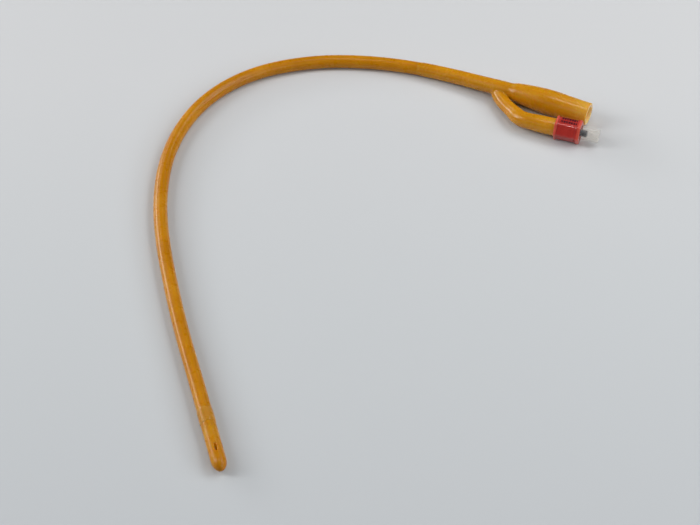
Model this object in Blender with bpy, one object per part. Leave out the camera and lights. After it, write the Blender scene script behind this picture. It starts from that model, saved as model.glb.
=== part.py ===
"""Two-way urinary catheter of natural latex, lying on a table as it would come to rest.

Metres, +Z up. +X runs along the drainage funnel and out of its mouth, the table is z = 0, and
the origin is under the middle of the catheter's footprint. Distances named AT are measured
along a centreline from its start, which is the end of the rounded tip or the root of the arm,
and those named FROM_MOUTH are measured back from the mouth of the drainage funnel.
"""

import math

import bmesh
import bpy
import numpy as np
from mathutils import Vector

# Shaft: one tube with a large drainage lumen and a fine inflation lumen in its wall
SHAFT_OD = 0.0060
DRAIN_LUMEN = 0.0032
DRAIN_OFFSET = 0.00035
INFLATION_LUMEN = 0.0006
INFLATION_OFFSET = 0.00195
SPIGOT_STEP = 0.0005
SPIGOT_LENGTH = 0.0050

# Clearances: face to face where pieces seat, and round a piece that sits in a socket
SEAT_GAP = 0.0003
SOCKET_GAP = 0.00025

# How far a cutter reaches out of the face it opens
CUT_BEYOND = 0.0010

# Rounded tip with two staggered drainage eyes
TIP_LENGTH = 0.02115
TIP_STRAIGHT = 0.03965
NOSE_LENGTH = 0.0050
NOSE_FLAT_R = 0.00024
TIP_FLOOR = 0.0054
TIP_FLOOR_R = 0.0003
TIP_FLOOR_LENGTH = 0.0012
EYE_WIDTH = 0.0016
EYE_LENGTH = 0.0044
EYE_TOP_AT = 0.00955
EYE_BOTTOM_AT = 0.01265
EYE_FLARE = 1.45
EYE_TURN = math.radians(9.0)

# Balloon sleeve, deflated, in a shallow recess of the shaft
BALLOON_BEHIND_TIP = 0.0019
BALLOON_LENGTH = 0.0071
BALLOON_PROUD = 0.0002
BALLOON_WALL = 0.00029
BALLOON_GAP = 0.0002
BALLOON_LIP = 0.0005
INFLATION_HOLE = 0.0006

# Moulded Y: neck sleeve and drainage funnel on one axis
MOULDING_LENGTH = 0.0835
NECK_STEP = 0.0002
NECK_EDGE_LENGTH = 0.0008
NECK_FULL_OD = 0.0070
NECK_FULL_FROM_MOUTH = 0.0420
SHOULDER_OD = 0.0086
SHOULDER_FROM_MOUTH = 0.0344
SHOULDER_RISE_LENGTH = 0.0038
BULGE_OD = 0.0115
BULGE_FROM_MOUTH = 0.0200
CONE_EASE = 0.0020
MOUTH_OD = 0.0102
MOUTH_ROUNDING = 0.0004
MOUTH_BORE = 0.0068
MOUTH_BORE_FLARE = 0.0002
MOUTH_BORE_FLARE_DEPTH = 0.0005
FUNNEL_BORE = 0.0064
FUNNEL_BORE_DEPTH = 0.0220
FUNNEL_CONE_DEPTH = 0.0375

# Moulded Y: inflation arm
ARM_ROOT_FROM_MOUTH = 0.0442
ARM_ROOT_OD = 0.0055
ARM_ELBOW_OD = 0.0070
ARM_HEEL_FLAT_R = 0.0004
ARM_ELBOW_AT = 0.0175
ARM_ELBOW_RISE = 0.0080
ARM_FULL_BEFORE_COLLAR = 0.0030
ARM_BORE = 0.0014
ARM_WALL = 0.0008
ARM_END_CHAMFER = 0.0002

# Non-return valve, measured along its own axis back from the outer face of the collar
COLLAR_LENGTH = 0.0116
COLLAR_WALL = 0.00075
COLLAR_FRONT = 0.0015
COLLAR_RIM_STEP = 0.00025
COLLAR_RIM_BACK = 0.0011
COLLAR_RIM_FRONT = 0.0019
COLLAR_CHAMFER = 0.0004
COLLAR_RIDGE_RADIUS = 0.0004
PORT_OD = 0.0060
PORT_LENGTH = 0.0082
PORT_LIP = 0.00010
PORT_LIP_LENGTH = 0.0009
PORT_LIP_SLOPE = 0.0003
PORT_LIP_CHAMFER = 0.00015
PORT_BORE = 0.0043
PORT_CONE_DEPTH = 0.0074
PORT_TAPER = 0.06
FLANGE_THICKNESS = 0.0011
BARREL_OD = 0.0058
BARREL_WALL = 0.0005
BARREL_CHAMFER = 0.0002
THROAT_BORE = 0.0035
THROAT_SEAT_DEPTH = 0.0009
CHAMBER_DEPTH = 0.0129
OUTLET_PLUG_LENGTH = 0.0020
OUTLET_FLANGE = 0.0010
OUTLET_NOSE = 0.0010
OUTLET_BORE = 0.0014
STEM_OD = 0.0029
STEM_NECK_OD = 0.0018
STEM_HEAD_ABOVE_COLLAR = 0.0028
STEM_FLANGE = 0.0007
STEM_TAIL = 0.0038
STEM_SLOT = 0.0006
STEM_CHAMFER = 0.0002
SEAL_THICKNESS = 0.0010
SEAL_CHAMFER = 0.0002
SPRING_WIRE = 0.0004
SPRING_MEAN_D = 0.0030
SPRING_TURNS = 6.5

# Where the catheter lies: the tip's end and heading, then points chosen along the centreline.
# The third number of a point is how far the line has climbed, from lying on the table (0) to
# the height of the funnel's axis (1).
TIP_END = (0.02347, -0.12613)
TIP_HEADING = math.radians(130.7)
SHAFT_ROUTE = [
    (-0.0232, -0.0720, 0.0),
    (-0.0408, -0.0502, 0.0),
    (-0.0574, -0.0278, 0.0),
    (-0.0650, -0.0161, 0.0),
    (-0.0718, -0.0038, 0.0),
    (-0.0775, 0.0090, 0.0),
    (-0.0818, 0.0225, 0.0),
    (-0.0842, 0.0363, 0.0),
    (-0.0845, 0.0503, 0.0),
    (-0.0822, 0.0640, 0.0),
    (-0.0772, 0.0767, 0.0),
    (-0.0695, 0.0882, 0.0),
    (-0.0594, 0.0980, 0.0),
    (-0.0478, 0.1061, 0.0),
    (-0.0351, 0.1123, 0.0),
    (-0.0219, 0.1169, 0.03),
    (-0.0083, 0.1200, 0.09),
    (0.0056, 0.1216, 0.22),
    (0.0170, 0.1219, 0.42),
    (0.0280, 0.1217, 0.70),
]
FUNNEL_START = (0.0400, 0.1215)
FUNNEL_MOUTH_X = 0.0776

# The inflation arm's points and the middle of the collar's outer face, measured from the middle
# of the funnel's mouth. An arm point's third number is its height above the table; its first
# point is the middle of the rounded heel, low in the side of the neck.
ARM_ROUTE = [
    (-0.0432, -0.0015, 0.0033),
    (-0.0397, -0.0055, 0.0035),
    (-0.0361, -0.0085, 0.0038),
    (-0.03225, -0.01125, 0.00415),
    (-0.0290, -0.0135, 0.00445),
    (-0.0267, -0.0146, 0.00465),
    (-0.0243, -0.0150, 0.00485),
    (-0.0204, -0.0148, 0.0050),
]
ARM_HEADING = math.radians(-56.0)
VALVE_FACE = (0.0009, -0.0124)
VALVE_HEADING = math.radians(7.0)

# Facets
TUBE_SIDES = 16
FUNNEL_SIDES = 28
ARM_SIDES = 20
TURNED_SIDES = 24
ROUTE_STEP = 0.0070
FINE_STEP = 0.0005

# Sizes that follow from the driving ones
SHAFT_R = SHAFT_OD / 2
SPIGOT_R = SHAFT_R - SPIGOT_STEP
SOCKET_R = SPIGOT_R + SOCKET_GAP
SOCKET_DEPTH = SPIGOT_LENGTH + SEAT_GAP
BALLOON_AT = TIP_LENGTH + BALLOON_BEHIND_TIP
BALLOON_R = SHAFT_R + BALLOON_PROUD
RECESS_R = BALLOON_R - BALLOON_WALL - BALLOON_GAP
NECK_R = SHAFT_R + NECK_STEP
FUNNEL_AXIS_Z = BULGE_OD / 2
ARM_SOCKET_R = BARREL_OD / 2 + SOCKET_GAP
ARM_END_R = ARM_SOCKET_R + ARM_WALL
COLLAR_BORE_R = ARM_END_R + SEAT_GAP
COLLAR_FLATS = 2 * (COLLAR_BORE_R + COLLAR_WALL)
VALVE_AXIS_Z = COLLAR_FLATS / 2
PORT_HOLE_R = PORT_OD / 2 + SEAT_GAP
CHAMBER_R = BARREL_OD / 2 - BARREL_WALL
FLANGE_FACE = -COLLAR_FRONT - SEAT_GAP
FLANGE_BACK = FLANGE_FACE - FLANGE_THICKNESS
ARM_END_FACE = FLANGE_BACK - SEAT_GAP
OUTLET_FACE = -CHAMBER_DEPTH - SEAT_GAP
OUTLET_TOP = OUTLET_FACE + OUTLET_PLUG_LENGTH
OUTLET_END = OUTLET_FACE - OUTLET_FLANGE - OUTLET_NOSE
ARM_SOCKET_FLOOR = OUTLET_END - SEAT_GAP
SEAL_TOP = -THROAT_SEAT_DEPTH - SEAT_GAP
SEAL_BASE = SEAL_TOP - SEAL_THICKNESS
STEM_FLANGE_TOP = SEAL_BASE - SEAT_GAP
STEM_FLANGE_BASE = STEM_FLANGE_TOP - STEM_FLANGE


def clear_scene():
    """Remove the objects that a new file starts with."""
    for old in list(bpy.data.objects):
        bpy.data.objects.remove(old, do_unlink=True)


def material(name, colour, roughness, metallic=0.0, transmission=0.0):
    """Principled material with one colour."""
    made = bpy.data.materials.new(name)
    made.use_nodes = True
    shader = made.node_tree.nodes["Principled BSDF"]
    shader.inputs["Base Color"].default_value = (*colour, 1.0)
    shader.inputs["Roughness"].default_value = roughness
    shader.inputs["Metallic"].default_value = metallic
    shader.inputs["Transmission Weight"].default_value = transmission
    return made


def finish_mesh(name, mesh_data, finish=None, parent=None):
    """Turn a bmesh into a named object, faces outward, round faces shaded smooth."""
    bmesh.ops.recalc_face_normals(mesh_data, faces=mesh_data.faces)
    mesh = bpy.data.meshes.new(name)
    mesh_data.to_mesh(mesh)
    mesh_data.free()
    mesh.shade_smooth()
    mesh.set_sharp_from_angle(angle=math.radians(38.0))
    made = bpy.data.objects.new(name, mesh)
    bpy.context.scene.collection.objects.link(made)
    if finish:
        mesh.materials.append(finish)
    if parent:
        made.parent = parent
    return made


def empty(name, location=(0.0, 0.0, 0.0), heading=0.0, parent=None):
    """Frame that pieces are placed in."""
    made = bpy.data.objects.new(name, None)
    made.location = location
    made.rotation_euler = (0.0, 0.0, heading)
    made.empty_display_size = 0.01
    bpy.context.scene.collection.objects.link(made)
    made.parent = parent
    return made


def boolean(target, tool, operation):
    """Cut or join target with a tool, which stays in the file as a hidden wire."""
    tool.hide_render = True
    tool.display_type = "WIRE"
    change = target.modifiers.new(tool.name, "BOOLEAN")
    change.operation = operation
    change.solver = "EXACT"
    change.object = tool


def skin(name, rings, finish=None, parent=None):
    """Closed surface over rings of points that lie one after another, with flat ends."""
    mesh_data = bmesh.new()
    rows = [[mesh_data.verts.new(point) for point in ring] for ring in rings]
    count = len(rows[0])
    for here, there in zip(rows, rows[1:]):
        for k in range(count):
            after = (k + 1) % count
            mesh_data.faces.new((here[k], here[after], there[after], there[k]))
    mesh_data.faces.new(rows[0])
    mesh_data.faces.new(reversed(rows[-1]))
    return finish_mesh(name, mesh_data, finish, parent)


def turned(name, outline, sides, finish=None, parent=None):
    """Revolve an outline of (along the axis, radius) points about local X."""
    mesh_data = bmesh.new()
    corners = [mesh_data.verts.new((along, 0.0, radius)) for along, radius in outline]
    loop = list(zip(corners, corners[1:]))
    if outline[0][1] > 0 and outline[-1][1] > 0:
        loop.append((corners[-1], corners[0]))
    edges = [mesh_data.edges.new(pair) for pair in loop]
    bmesh.ops.spin(
        mesh_data,
        geom=corners + edges,
        cent=(0.0, 0.0, 0.0),
        axis=(1.0, 0.0, 0.0),
        angle=2 * math.pi,
        steps=sides,
        use_merge=True,
    )
    bmesh.ops.remove_doubles(mesh_data, verts=mesh_data.verts, dist=1e-6)
    return finish_mesh(name, mesh_data, finish, parent)


def smooth_curve(points, start_way, end_way):
    """Cubic spline through points, leaving along start_way and arriving along end_way."""
    points = np.asarray(points, float)
    chords = np.linalg.norm(np.diff(points, axis=0), axis=1)
    count = len(points)
    system = np.zeros((count, count))
    wanted = np.zeros((count, 3))
    system[0, 0] = system[-1, -1] = 1.0
    wanted[0], wanted[-1] = start_way, end_way
    for k in range(1, count - 1):
        before, after = chords[k - 1], chords[k]
        system[k, k - 1 : k + 2] = after, 2 * (before + after), before
        rise_before = (points[k] - points[k - 1]) / before
        rise_after = (points[k + 1] - points[k]) / after
        wanted[k] = 3 * (after * rise_before + before * rise_after)
    slopes = np.linalg.solve(system, wanted)
    pieces = []
    for k, chord in enumerate(chords):
        steps = max(2, int(math.ceil(chord / FINE_STEP)))
        t = np.linspace(0.0, 1.0, steps, endpoint=False)[:, None]
        pieces.append(
            (2 * t**3 - 3 * t**2 + 1) * points[k]
            + (t**3 - 2 * t**2 + t) * chord * slopes[k]
            + (3 * t**2 - 2 * t**3) * points[k + 1]
            + (t**3 - t**2) * chord * slopes[k + 1]
        )
    return np.vstack(pieces + [points[-1:]])


def straight(start, end):
    """Points along a straight line, from start up to end without end itself."""
    start, end = np.asarray(start, float), np.asarray(end, float)
    steps = max(2, int(math.ceil(np.linalg.norm(end - start) / FINE_STEP)))
    t = np.linspace(0.0, 1.0, steps, endpoint=False)[:, None]
    return start + t * (end - start)


class Path:
    """Line through closely spaced points, read by distance from its start."""

    def __init__(self, points):
        self.points = np.asarray(points, float)
        hops = np.linalg.norm(np.diff(self.points, axis=0), axis=1)
        self.reached = np.concatenate([[0.0], np.cumsum(hops)])
        self.ways = np.gradient(self.points, self.reached, axis=0)
        self.length = float(self.reached[-1])

    def at(self, distance):
        """Centre, direction, level side direction and upward direction at a distance."""
        inside = min(max(distance, 0.0), self.length)
        centre = Vector([np.interp(inside, self.reached, self.points[:, k]) for k in range(3)])
        way = Vector([np.interp(inside, self.reached, self.ways[:, k]) for k in range(3)])
        way.normalize()
        centre += way * (distance - inside)
        side = way.cross(Vector((0.0, 0.0, 1.0))).normalized()
        return centre, way, side, side.cross(way)

    def ring(self, distance, radius, sides, offset=0.0):
        """Circle of points square to the path, its centre moved sideways by offset."""
        centre, _, side, up = self.at(distance)
        centre = centre + side * offset
        turns = [2 * math.pi * k / sides for k in range(sides)]
        return [centre + radius * (math.cos(a) * side + math.sin(a) * up) for a in turns]


def between(start, end, step):
    """Distances from start to end, both included, no further apart than step."""
    return list(np.linspace(start, end, max(2, int(math.ceil(abs(end - start) / step)) + 1)))


def tube(name, path, stations, sides, offset=0.0, finish=None, parent=None):
    """Skin over circles along a path; a station is (distance, radius)."""
    rings = [path.ring(distance, radius, sides, offset) for distance, radius in stations]
    return skin(name, rings, finish, parent)


def bead(stations, fullness=8):
    """Rounded radius profile through (distance, radius) stations, level at each of them."""
    profile = [stations[0]]
    for (near, low), (far, high) in zip(stations, stations[1:]):
        for k in range(1, fullness + 1):
            t = k / fullness
            blend = t * t * (3 - 2 * t)
            profile.append((near + (far - near) * t, low + (high - low) * blend))
    return profile


def main_route():
    """Centreline from the tip's end to the mouth of the funnel.

    The balloon carries the straight end, and the table carries the rest up to the climb.
    """
    climb = FUNNEL_AXIS_Z - SHAFT_R
    heading = Vector((math.cos(TIP_HEADING), math.sin(TIP_HEADING), 0.0))
    tip_end = Vector((*TIP_END, BALLOON_R))
    straight_end = tip_end + heading * TIP_STRAIGHT
    chosen = [(x, y, SHAFT_R + rise * climb) for x, y, rise in SHAFT_ROUTE]
    funnel_start = (*FUNNEL_START, FUNNEL_AXIS_Z)
    mouth = (FUNNEL_MOUTH_X, FUNNEL_START[1], FUNNEL_AXIS_Z)
    curve = smooth_curve([straight_end, *chosen, funnel_start], heading, (1.0, 0.0, 0.0))
    curve[:, 2] = np.maximum(curve[:, 2], SHAFT_R)
    legs = [straight(tip_end, straight_end), curve[:-1], straight(funnel_start, mouth), [mouth]]
    return Path(np.vstack(legs))


def from_mouth(across_x, across_y, z):
    """Point at a height z, placed on the table's plane from the middle of the funnel's mouth."""
    return (FUNNEL_MOUTH_X + across_x, FUNNEL_START[1] + across_y, z)


def valve_point(along):
    """Point on the valve's axis, at a distance in front of the collar's outer face."""
    x = VALVE_FACE[0] + along * math.cos(VALVE_HEADING)
    y = VALVE_FACE[1] + along * math.sin(VALVE_HEADING)
    return from_mouth(x, y, VALVE_AXIS_Z)


def arm_route():
    """Centreline of the inflation arm, from its heel in the neck to its end inside the collar."""
    chosen = [Vector(from_mouth(*point)) for point in ARM_ROUTE]
    start_way = Vector((math.cos(ARM_HEADING), math.sin(ARM_HEADING), 0.0))
    end_way = (math.cos(VALVE_HEADING), math.sin(VALVE_HEADING), 0.0)
    heel = chosen[0] - start_way * ARM_ROOT_OD / 2
    valve_start = valve_point(ARM_SOCKET_FLOOR)
    curve = smooth_curve([*chosen, valve_start], start_way, end_way)
    end = valve_point(ARM_END_FACE)
    legs = [straight(heel, chosen[0]), curve[:-1], straight(valve_start, end), [end]]
    return Path(np.vstack(legs))


def make_tip(route, finish, parent):
    """Blunt-nosed end, a socket for the shaft's spigot, and an eye above and one below."""
    nose = []
    for turn in np.linspace(math.asin(NOSE_FLAT_R / SHAFT_R), math.pi / 2, 9):
        nose.append((NOSE_LENGTH * (1 - math.cos(turn)), SHAFT_R * math.sin(turn)))
    body = tube("rounded_tip", route, [*nose, (TIP_LENGTH, SHAFT_R)],
                TUBE_SIDES, finish=finish, parent=parent)
    floor_end = TIP_FLOOR + TIP_FLOOR_LENGTH
    blind_end = bead([(TIP_FLOOR, TIP_FLOOR_R), (floor_end, DRAIN_LUMEN / 2)], 4)
    lumen = tube("tip_lumen", route, [*blind_end, (TIP_LENGTH, DRAIN_LUMEN / 2)],
                 TUBE_SIDES, -DRAIN_OFFSET, parent=parent)
    socket = tube("tip_socket", route,
                  [(TIP_LENGTH - SOCKET_DEPTH, SOCKET_R), (TIP_LENGTH + SHAFT_R, SOCKET_R)],
                  TUBE_SIDES, parent=parent)
    boolean(body, lumen, "DIFFERENCE")
    boolean(body, socket, "DIFFERENCE")
    for name, along, turn in (
        ("eye_above", EYE_TOP_AT, EYE_TURN),
        ("eye_below", EYE_BOTTOM_AT, EYE_TURN + math.pi),
    ):
        boolean(body, eye_cutter(name, route, along, turn, parent), "DIFFERENCE")
    return body


def eye_cutter(name, route, along, turn, parent):
    """Oval plug from the lumen's middle out through the wall, flaring at the surface."""
    centre, way, side, up = route.at(along)
    outward = math.cos(turn) * up + math.sin(turn) * side
    across = way.cross(outward)
    rings = []
    for height, flare in ((0.0, 1.0), (SHAFT_R * 0.8, 1.0), (SHAFT_R * 1.25, EYE_FLARE)):
        rings.append([
            centre + outward * height
            + way * (flare * EYE_LENGTH / 2 * math.cos(angle))
            + across * (flare * EYE_WIDTH / 2 * math.sin(angle))
            for angle in np.linspace(0.0, 2 * math.pi, 20, endpoint=False)
        ])
    return skin(name, rings, parent=parent)


def make_shaft(route, finish, parent):
    """Double-lumen tube with a spigot at each end and a recess for the balloon."""
    start = TIP_LENGTH + SEAT_GAP
    end = route.length - MOULDING_LENGTH - SEAT_GAP
    recess = (BALLOON_AT - BALLOON_GAP, BALLOON_AT + BALLOON_LENGTH + BALLOON_GAP)
    stations = [(start - SPIGOT_LENGTH, SPIGOT_R), (start, SPIGOT_R)]
    stations += [(start, SHAFT_R), (recess[0], SHAFT_R)]
    stations += [(s, RECESS_R) for s in between(*recess, ROUTE_STEP)]
    stations += [(s, SHAFT_R) for s in between(recess[1], end, ROUTE_STEP)]
    stations += [(end, SPIGOT_R), (end + SPIGOT_LENGTH, SPIGOT_R)]
    body = tube("shaft_tube", route, stations, TUBE_SIDES, finish=finish, parent=parent)
    reach = [start - 2 * SPIGOT_LENGTH, *[s for s, _ in stations[1:-1]], end + 2 * SPIGOT_LENGTH]
    reach = sorted(set(reach))
    drain = tube("shaft_drain_lumen", route, [(s, DRAIN_LUMEN / 2) for s in reach],
                 12, -DRAIN_OFFSET, parent=parent)
    inflation = tube("shaft_inflation_lumen", route, [(s, INFLATION_LUMEN / 2) for s in reach],
                     8, INFLATION_OFFSET, parent=parent)
    boolean(body, drain, "DIFFERENCE")
    boolean(body, inflation, "DIFFERENCE")
    boolean(body, inflation_hole(route, parent), "DIFFERENCE")
    return body


def inflation_hole(route, parent):
    """Radial hole from the inflation lumen to the outside, under the balloon."""
    centre, way, side, up = route.at(BALLOON_AT + BALLOON_LENGTH / 2)
    rings = []
    for depth in (INFLATION_OFFSET, SHAFT_R + SEAT_GAP):
        turns = [2 * math.pi * k / 8 for k in range(8)]
        spread = [math.cos(a) * way + math.sin(a) * up for a in turns]
        rings.append([centre + side * depth + INFLATION_HOLE / 2 * out for out in spread])
    return skin("inflation_hole", rings, parent=parent)


def make_balloon(route, finish, parent):
    """Thin sleeve, its ends bonded down and rounded, its middle a little slack."""
    start, end, lip = BALLOON_AT, BALLOON_AT + BALLOON_LENGTH, BALLOON_LIP
    outer = bead([(start, BALLOON_R - BALLOON_WALL / 2), (start + lip, BALLOON_R)], 3)
    outer += between_stations(start + lip, end - lip, BALLOON_R)
    outer += bead([(end - lip, BALLOON_R), (end, BALLOON_R - BALLOON_WALL / 2)], 3)[1:]
    body = tube("balloon_sleeve", route, outer, TUBE_SIDES, finish=finish, parent=parent)
    inner_r = BALLOON_R - BALLOON_WALL
    inner = [(start - lip, inner_r), *between_stations(start - lip, end + lip, inner_r)]
    bore = tube("balloon_bore", route, inner, TUBE_SIDES, parent=parent)
    boolean(body, bore, "DIFFERENCE")
    return body


def between_stations(start, end, radius):
    """Stations of one radius between two distances, without the first."""
    return [(s, radius) for s in between(start, end, ROUTE_STEP / 2)[1:]]


def make_y_funnel(route, arm, finish, parent):
    """Neck sleeve, drainage funnel and inflation arm, moulded as one, with their bores."""
    end = route.length
    neck = end - MOULDING_LENGTH
    neck_full = (end - NECK_FULL_FROM_MOUTH, NECK_FULL_OD / 2)
    outline = [(neck, NECK_R - NECK_STEP / 2)]
    outline += bead([(neck + NECK_EDGE_LENGTH, NECK_R), neck_full], 6)
    shoulder = (end - SHOULDER_FROM_MOUTH, SHOULDER_OD / 2)
    outline += bead([(shoulder[0] - SHOULDER_RISE_LENGTH, NECK_FULL_OD / 2), shoulder], 5)
    bulge = (end - BULGE_FROM_MOUTH, BULGE_OD / 2)
    ease = 0.05 * (bulge[1] - shoulder[1])
    outline.append((shoulder[0] + CONE_EASE, shoulder[1] + ease))
    outline.append((bulge[0] - CONE_EASE, bulge[1] - ease))
    outline += bead([bulge, (end - 2 * MOUTH_ROUNDING, MOUTH_OD / 2)], 5)
    for turn in np.linspace(0.0, math.pi / 2, 4):
        back, inset = 1 - math.sin(turn), 1 - math.cos(turn)
        outline.append((end - MOUTH_ROUNDING * back, MOUTH_OD / 2 - MOUTH_ROUNDING * inset))
    body = tube("y_funnel", route, outline, FUNNEL_SIDES, finish=finish, parent=parent)
    boolean(body, arm_blank(arm, parent), "UNION")
    for tool in funnel_bores(route, arm, parent):
        boolean(body, tool, "DIFFERENCE")
    return body


def arm_blank(arm, parent):
    """Solid form of the inflation arm, from its rounded heel to its cut end in the collar."""
    root, elbow, rise = ARM_ROOT_OD / 2, ARM_ELBOW_OD / 2, ARM_ELBOW_RISE
    outline = []
    for turn in np.linspace(math.asin(ARM_HEEL_FLAT_R / root), math.pi / 2, 5):
        outline.append((root * (1 - math.cos(turn)), root * math.sin(turn)))
    outline += [(s, root) for s in between(root, ARM_ELBOW_AT - rise / 2, 0.0025)[1:]]
    outline += bead([(ARM_ELBOW_AT - rise / 3, root), (ARM_ELBOW_AT + rise / 2, elbow)], 4)[1:]
    full = arm.length - (COLLAR_LENGTH + ARM_END_FACE) - ARM_FULL_BEFORE_COLLAR
    outline += bead([(ARM_ELBOW_AT + rise, elbow), (full, ARM_END_R)], 4)
    outline.append((arm.length - ARM_END_CHAMFER, ARM_END_R))
    outline.append((arm.length, ARM_END_R - ARM_END_CHAMFER))
    return tube("arm_blank", arm, outline, ARM_SIDES, parent=parent)


def funnel_bores(route, arm, parent):
    """Tapered drainage bore, neck socket, inflation channel and socket for the valve."""
    end = route.length
    neck = end - MOULDING_LENGTH
    lumen_r, mouth_r = DRAIN_LUMEN / 2, MOUTH_BORE / 2
    stations = [(neck - CUT_BEYOND, lumen_r, -DRAIN_OFFSET)]
    lumen_end = end - FUNNEL_CONE_DEPTH - ROUTE_STEP
    stations += [(s, lumen_r, -DRAIN_OFFSET) for s in between(neck, lumen_end, ROUTE_STEP)]
    cone = bead([(end - FUNNEL_CONE_DEPTH, lumen_r), (end - FUNNEL_BORE_DEPTH, FUNNEL_BORE / 2)], 6)
    stations += [(s, radius, 0.0) for s, radius in cone]
    stations.append((end - MOUTH_BORE_FLARE_DEPTH, mouth_r, 0.0))
    stations += [(s, mouth_r + MOUTH_BORE_FLARE, 0.0) for s in (end, end + CUT_BEYOND)]
    rings = [route.ring(s, radius, 20, offset) for s, radius, offset in stations]
    yield skin("drain_bore", rings, parent=parent)
    yield tube("neck_socket", route, [(neck - SHAFT_R, SOCKET_R), (neck + SOCKET_DEPTH, SOCKET_R)],
               TUBE_SIDES, parent=parent)
    root = end - ARM_ROOT_FROM_MOUTH
    line = []
    for s in between(neck, root - ARM_ROOT_OD / 2, 0.0060):
        centre, _, side, _ = route.at(s)
        line.append(centre + side * INFLATION_OFFSET)
    line += [arm.at(s)[0] for s in between(1.5 * ARM_ROOT_OD, arm.length - ARM_ROOT_OD, 0.0040)]
    first_way, last_way = route.at(neck)[1], arm.at(arm.length)[1]
    channel = Path(smooth_curve(line, first_way, last_way))
    fine = channel.length * 0.5
    widths = [(s, INFLATION_LUMEN / 2) for s in between(0.0, fine, ROUTE_STEP)]
    widths += [(s, ARM_BORE / 2) for s in between(fine + 0.0060, channel.length, 0.0040)]
    yield tube("inflation_channel", channel, widths, 8, parent=parent)
    floor = arm.length + ARM_SOCKET_FLOOR - ARM_END_FACE
    yield tube("valve_socket", arm, [(floor, ARM_SOCKET_R), (arm.length + CUT_BEYOND, ARM_SOCKET_R)],
               ARM_SIDES, parent=parent)


def hexagon(along, across_flats):
    """Six-sided section square to local X, flat underneath, with rounded ridges."""
    inset = (across_flats / 2 - COLLAR_RIDGE_RADIUS) / math.cos(math.pi / 6)
    points = []
    for corner in range(6):
        middle = corner * math.pi / 3
        for swing in np.linspace(-math.pi / 6, math.pi / 6, 4):
            points.append((
                along,
                inset * math.cos(middle) + COLLAR_RIDGE_RADIUS * math.cos(middle + swing),
                inset * math.sin(middle) + COLLAR_RIDGE_RADIUS * math.sin(middle + swing),
            ))
    return points


def make_collar(finish, parent):
    """Six-sided collar with a raised rim at each end, bored for the arm and the port."""
    back, full, low = -COLLAR_LENGTH, COLLAR_FLATS, COLLAR_FLATS - 2 * COLLAR_RIM_STEP
    slope = COLLAR_RIM_STEP
    sections = [
        (back, full - 2 * COLLAR_CHAMFER),
        (back + COLLAR_CHAMFER, full),
        (back + COLLAR_RIM_BACK, full),
        (back + COLLAR_RIM_BACK + slope, low),
        (-COLLAR_RIM_FRONT - slope, low),
        (-COLLAR_RIM_FRONT, full),
        (-COLLAR_CHAMFER, full),
        (0.0, full - 2 * COLLAR_CHAMFER),
    ]
    body = skin("valve_collar", [hexagon(x, flats) for x, flats in sections], finish, parent)
    bore = turned("collar_bore", [
        (back - CUT_BEYOND, 0.0),
        (back - CUT_BEYOND, COLLAR_BORE_R),
        (-COLLAR_FRONT, COLLAR_BORE_R),
        (-COLLAR_FRONT, PORT_HOLE_R),
        (CUT_BEYOND, PORT_HOLE_R),
        (CUT_BEYOND, 0.0),
    ], TURNED_SIDES, parent=parent)
    boolean(body, bore, "DIFFERENCE")
    return body


def make_port_housing(finish, parent):
    """Syringe port outside, flange behind the collar's front, and the valve's barrel."""
    outer, barrel = PORT_OD / 2, BARREL_OD / 2
    lip = outer + PORT_LIP
    lip_start = PORT_LENGTH - PORT_LIP_LENGTH
    cone_floor = PORT_LENGTH - PORT_CONE_DEPTH
    cone_r = PORT_BORE / 2 - PORT_CONE_DEPTH * PORT_TAPER / 2
    return turned("port_housing", [
        (PORT_LENGTH, PORT_BORE / 2),
        (PORT_LENGTH, lip - PORT_LIP_CHAMFER),
        (PORT_LENGTH - PORT_LIP_CHAMFER, lip),
        (lip_start, lip),
        (lip_start - PORT_LIP_SLOPE, outer),
        (FLANGE_FACE, outer),
        (FLANGE_FACE, COLLAR_BORE_R - SEAT_GAP),
        (FLANGE_BACK, COLLAR_BORE_R - SEAT_GAP),
        (FLANGE_BACK, barrel),
        (BARREL_CHAMFER - CHAMBER_DEPTH, barrel),
        (-CHAMBER_DEPTH, barrel - BARREL_CHAMFER),
        (-CHAMBER_DEPTH, CHAMBER_R),
        (-THROAT_SEAT_DEPTH, CHAMBER_R),
        (-THROAT_SEAT_DEPTH, THROAT_BORE / 2),
        (cone_floor, THROAT_BORE / 2),
        (cone_floor, cone_r),
    ], TURNED_SIDES, finish, parent)


def make_outlet(finish, parent):
    """Plug that closes the barrel, carries the spring and leads on into the arm."""
    plug, hole = CHAMBER_R - SEAT_GAP, OUTLET_BORE / 2
    return turned("valve_outlet", [
        (OUTLET_TOP, hole),
        (OUTLET_TOP, plug),
        (OUTLET_FACE, plug),
        (OUTLET_FACE, BARREL_OD / 2),
        (OUTLET_FACE - OUTLET_FLANGE, BARREL_OD / 2),
        (OUTLET_END, plug),
        (OUTLET_END, hole),
    ], TURNED_SIDES, finish, parent)


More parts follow.
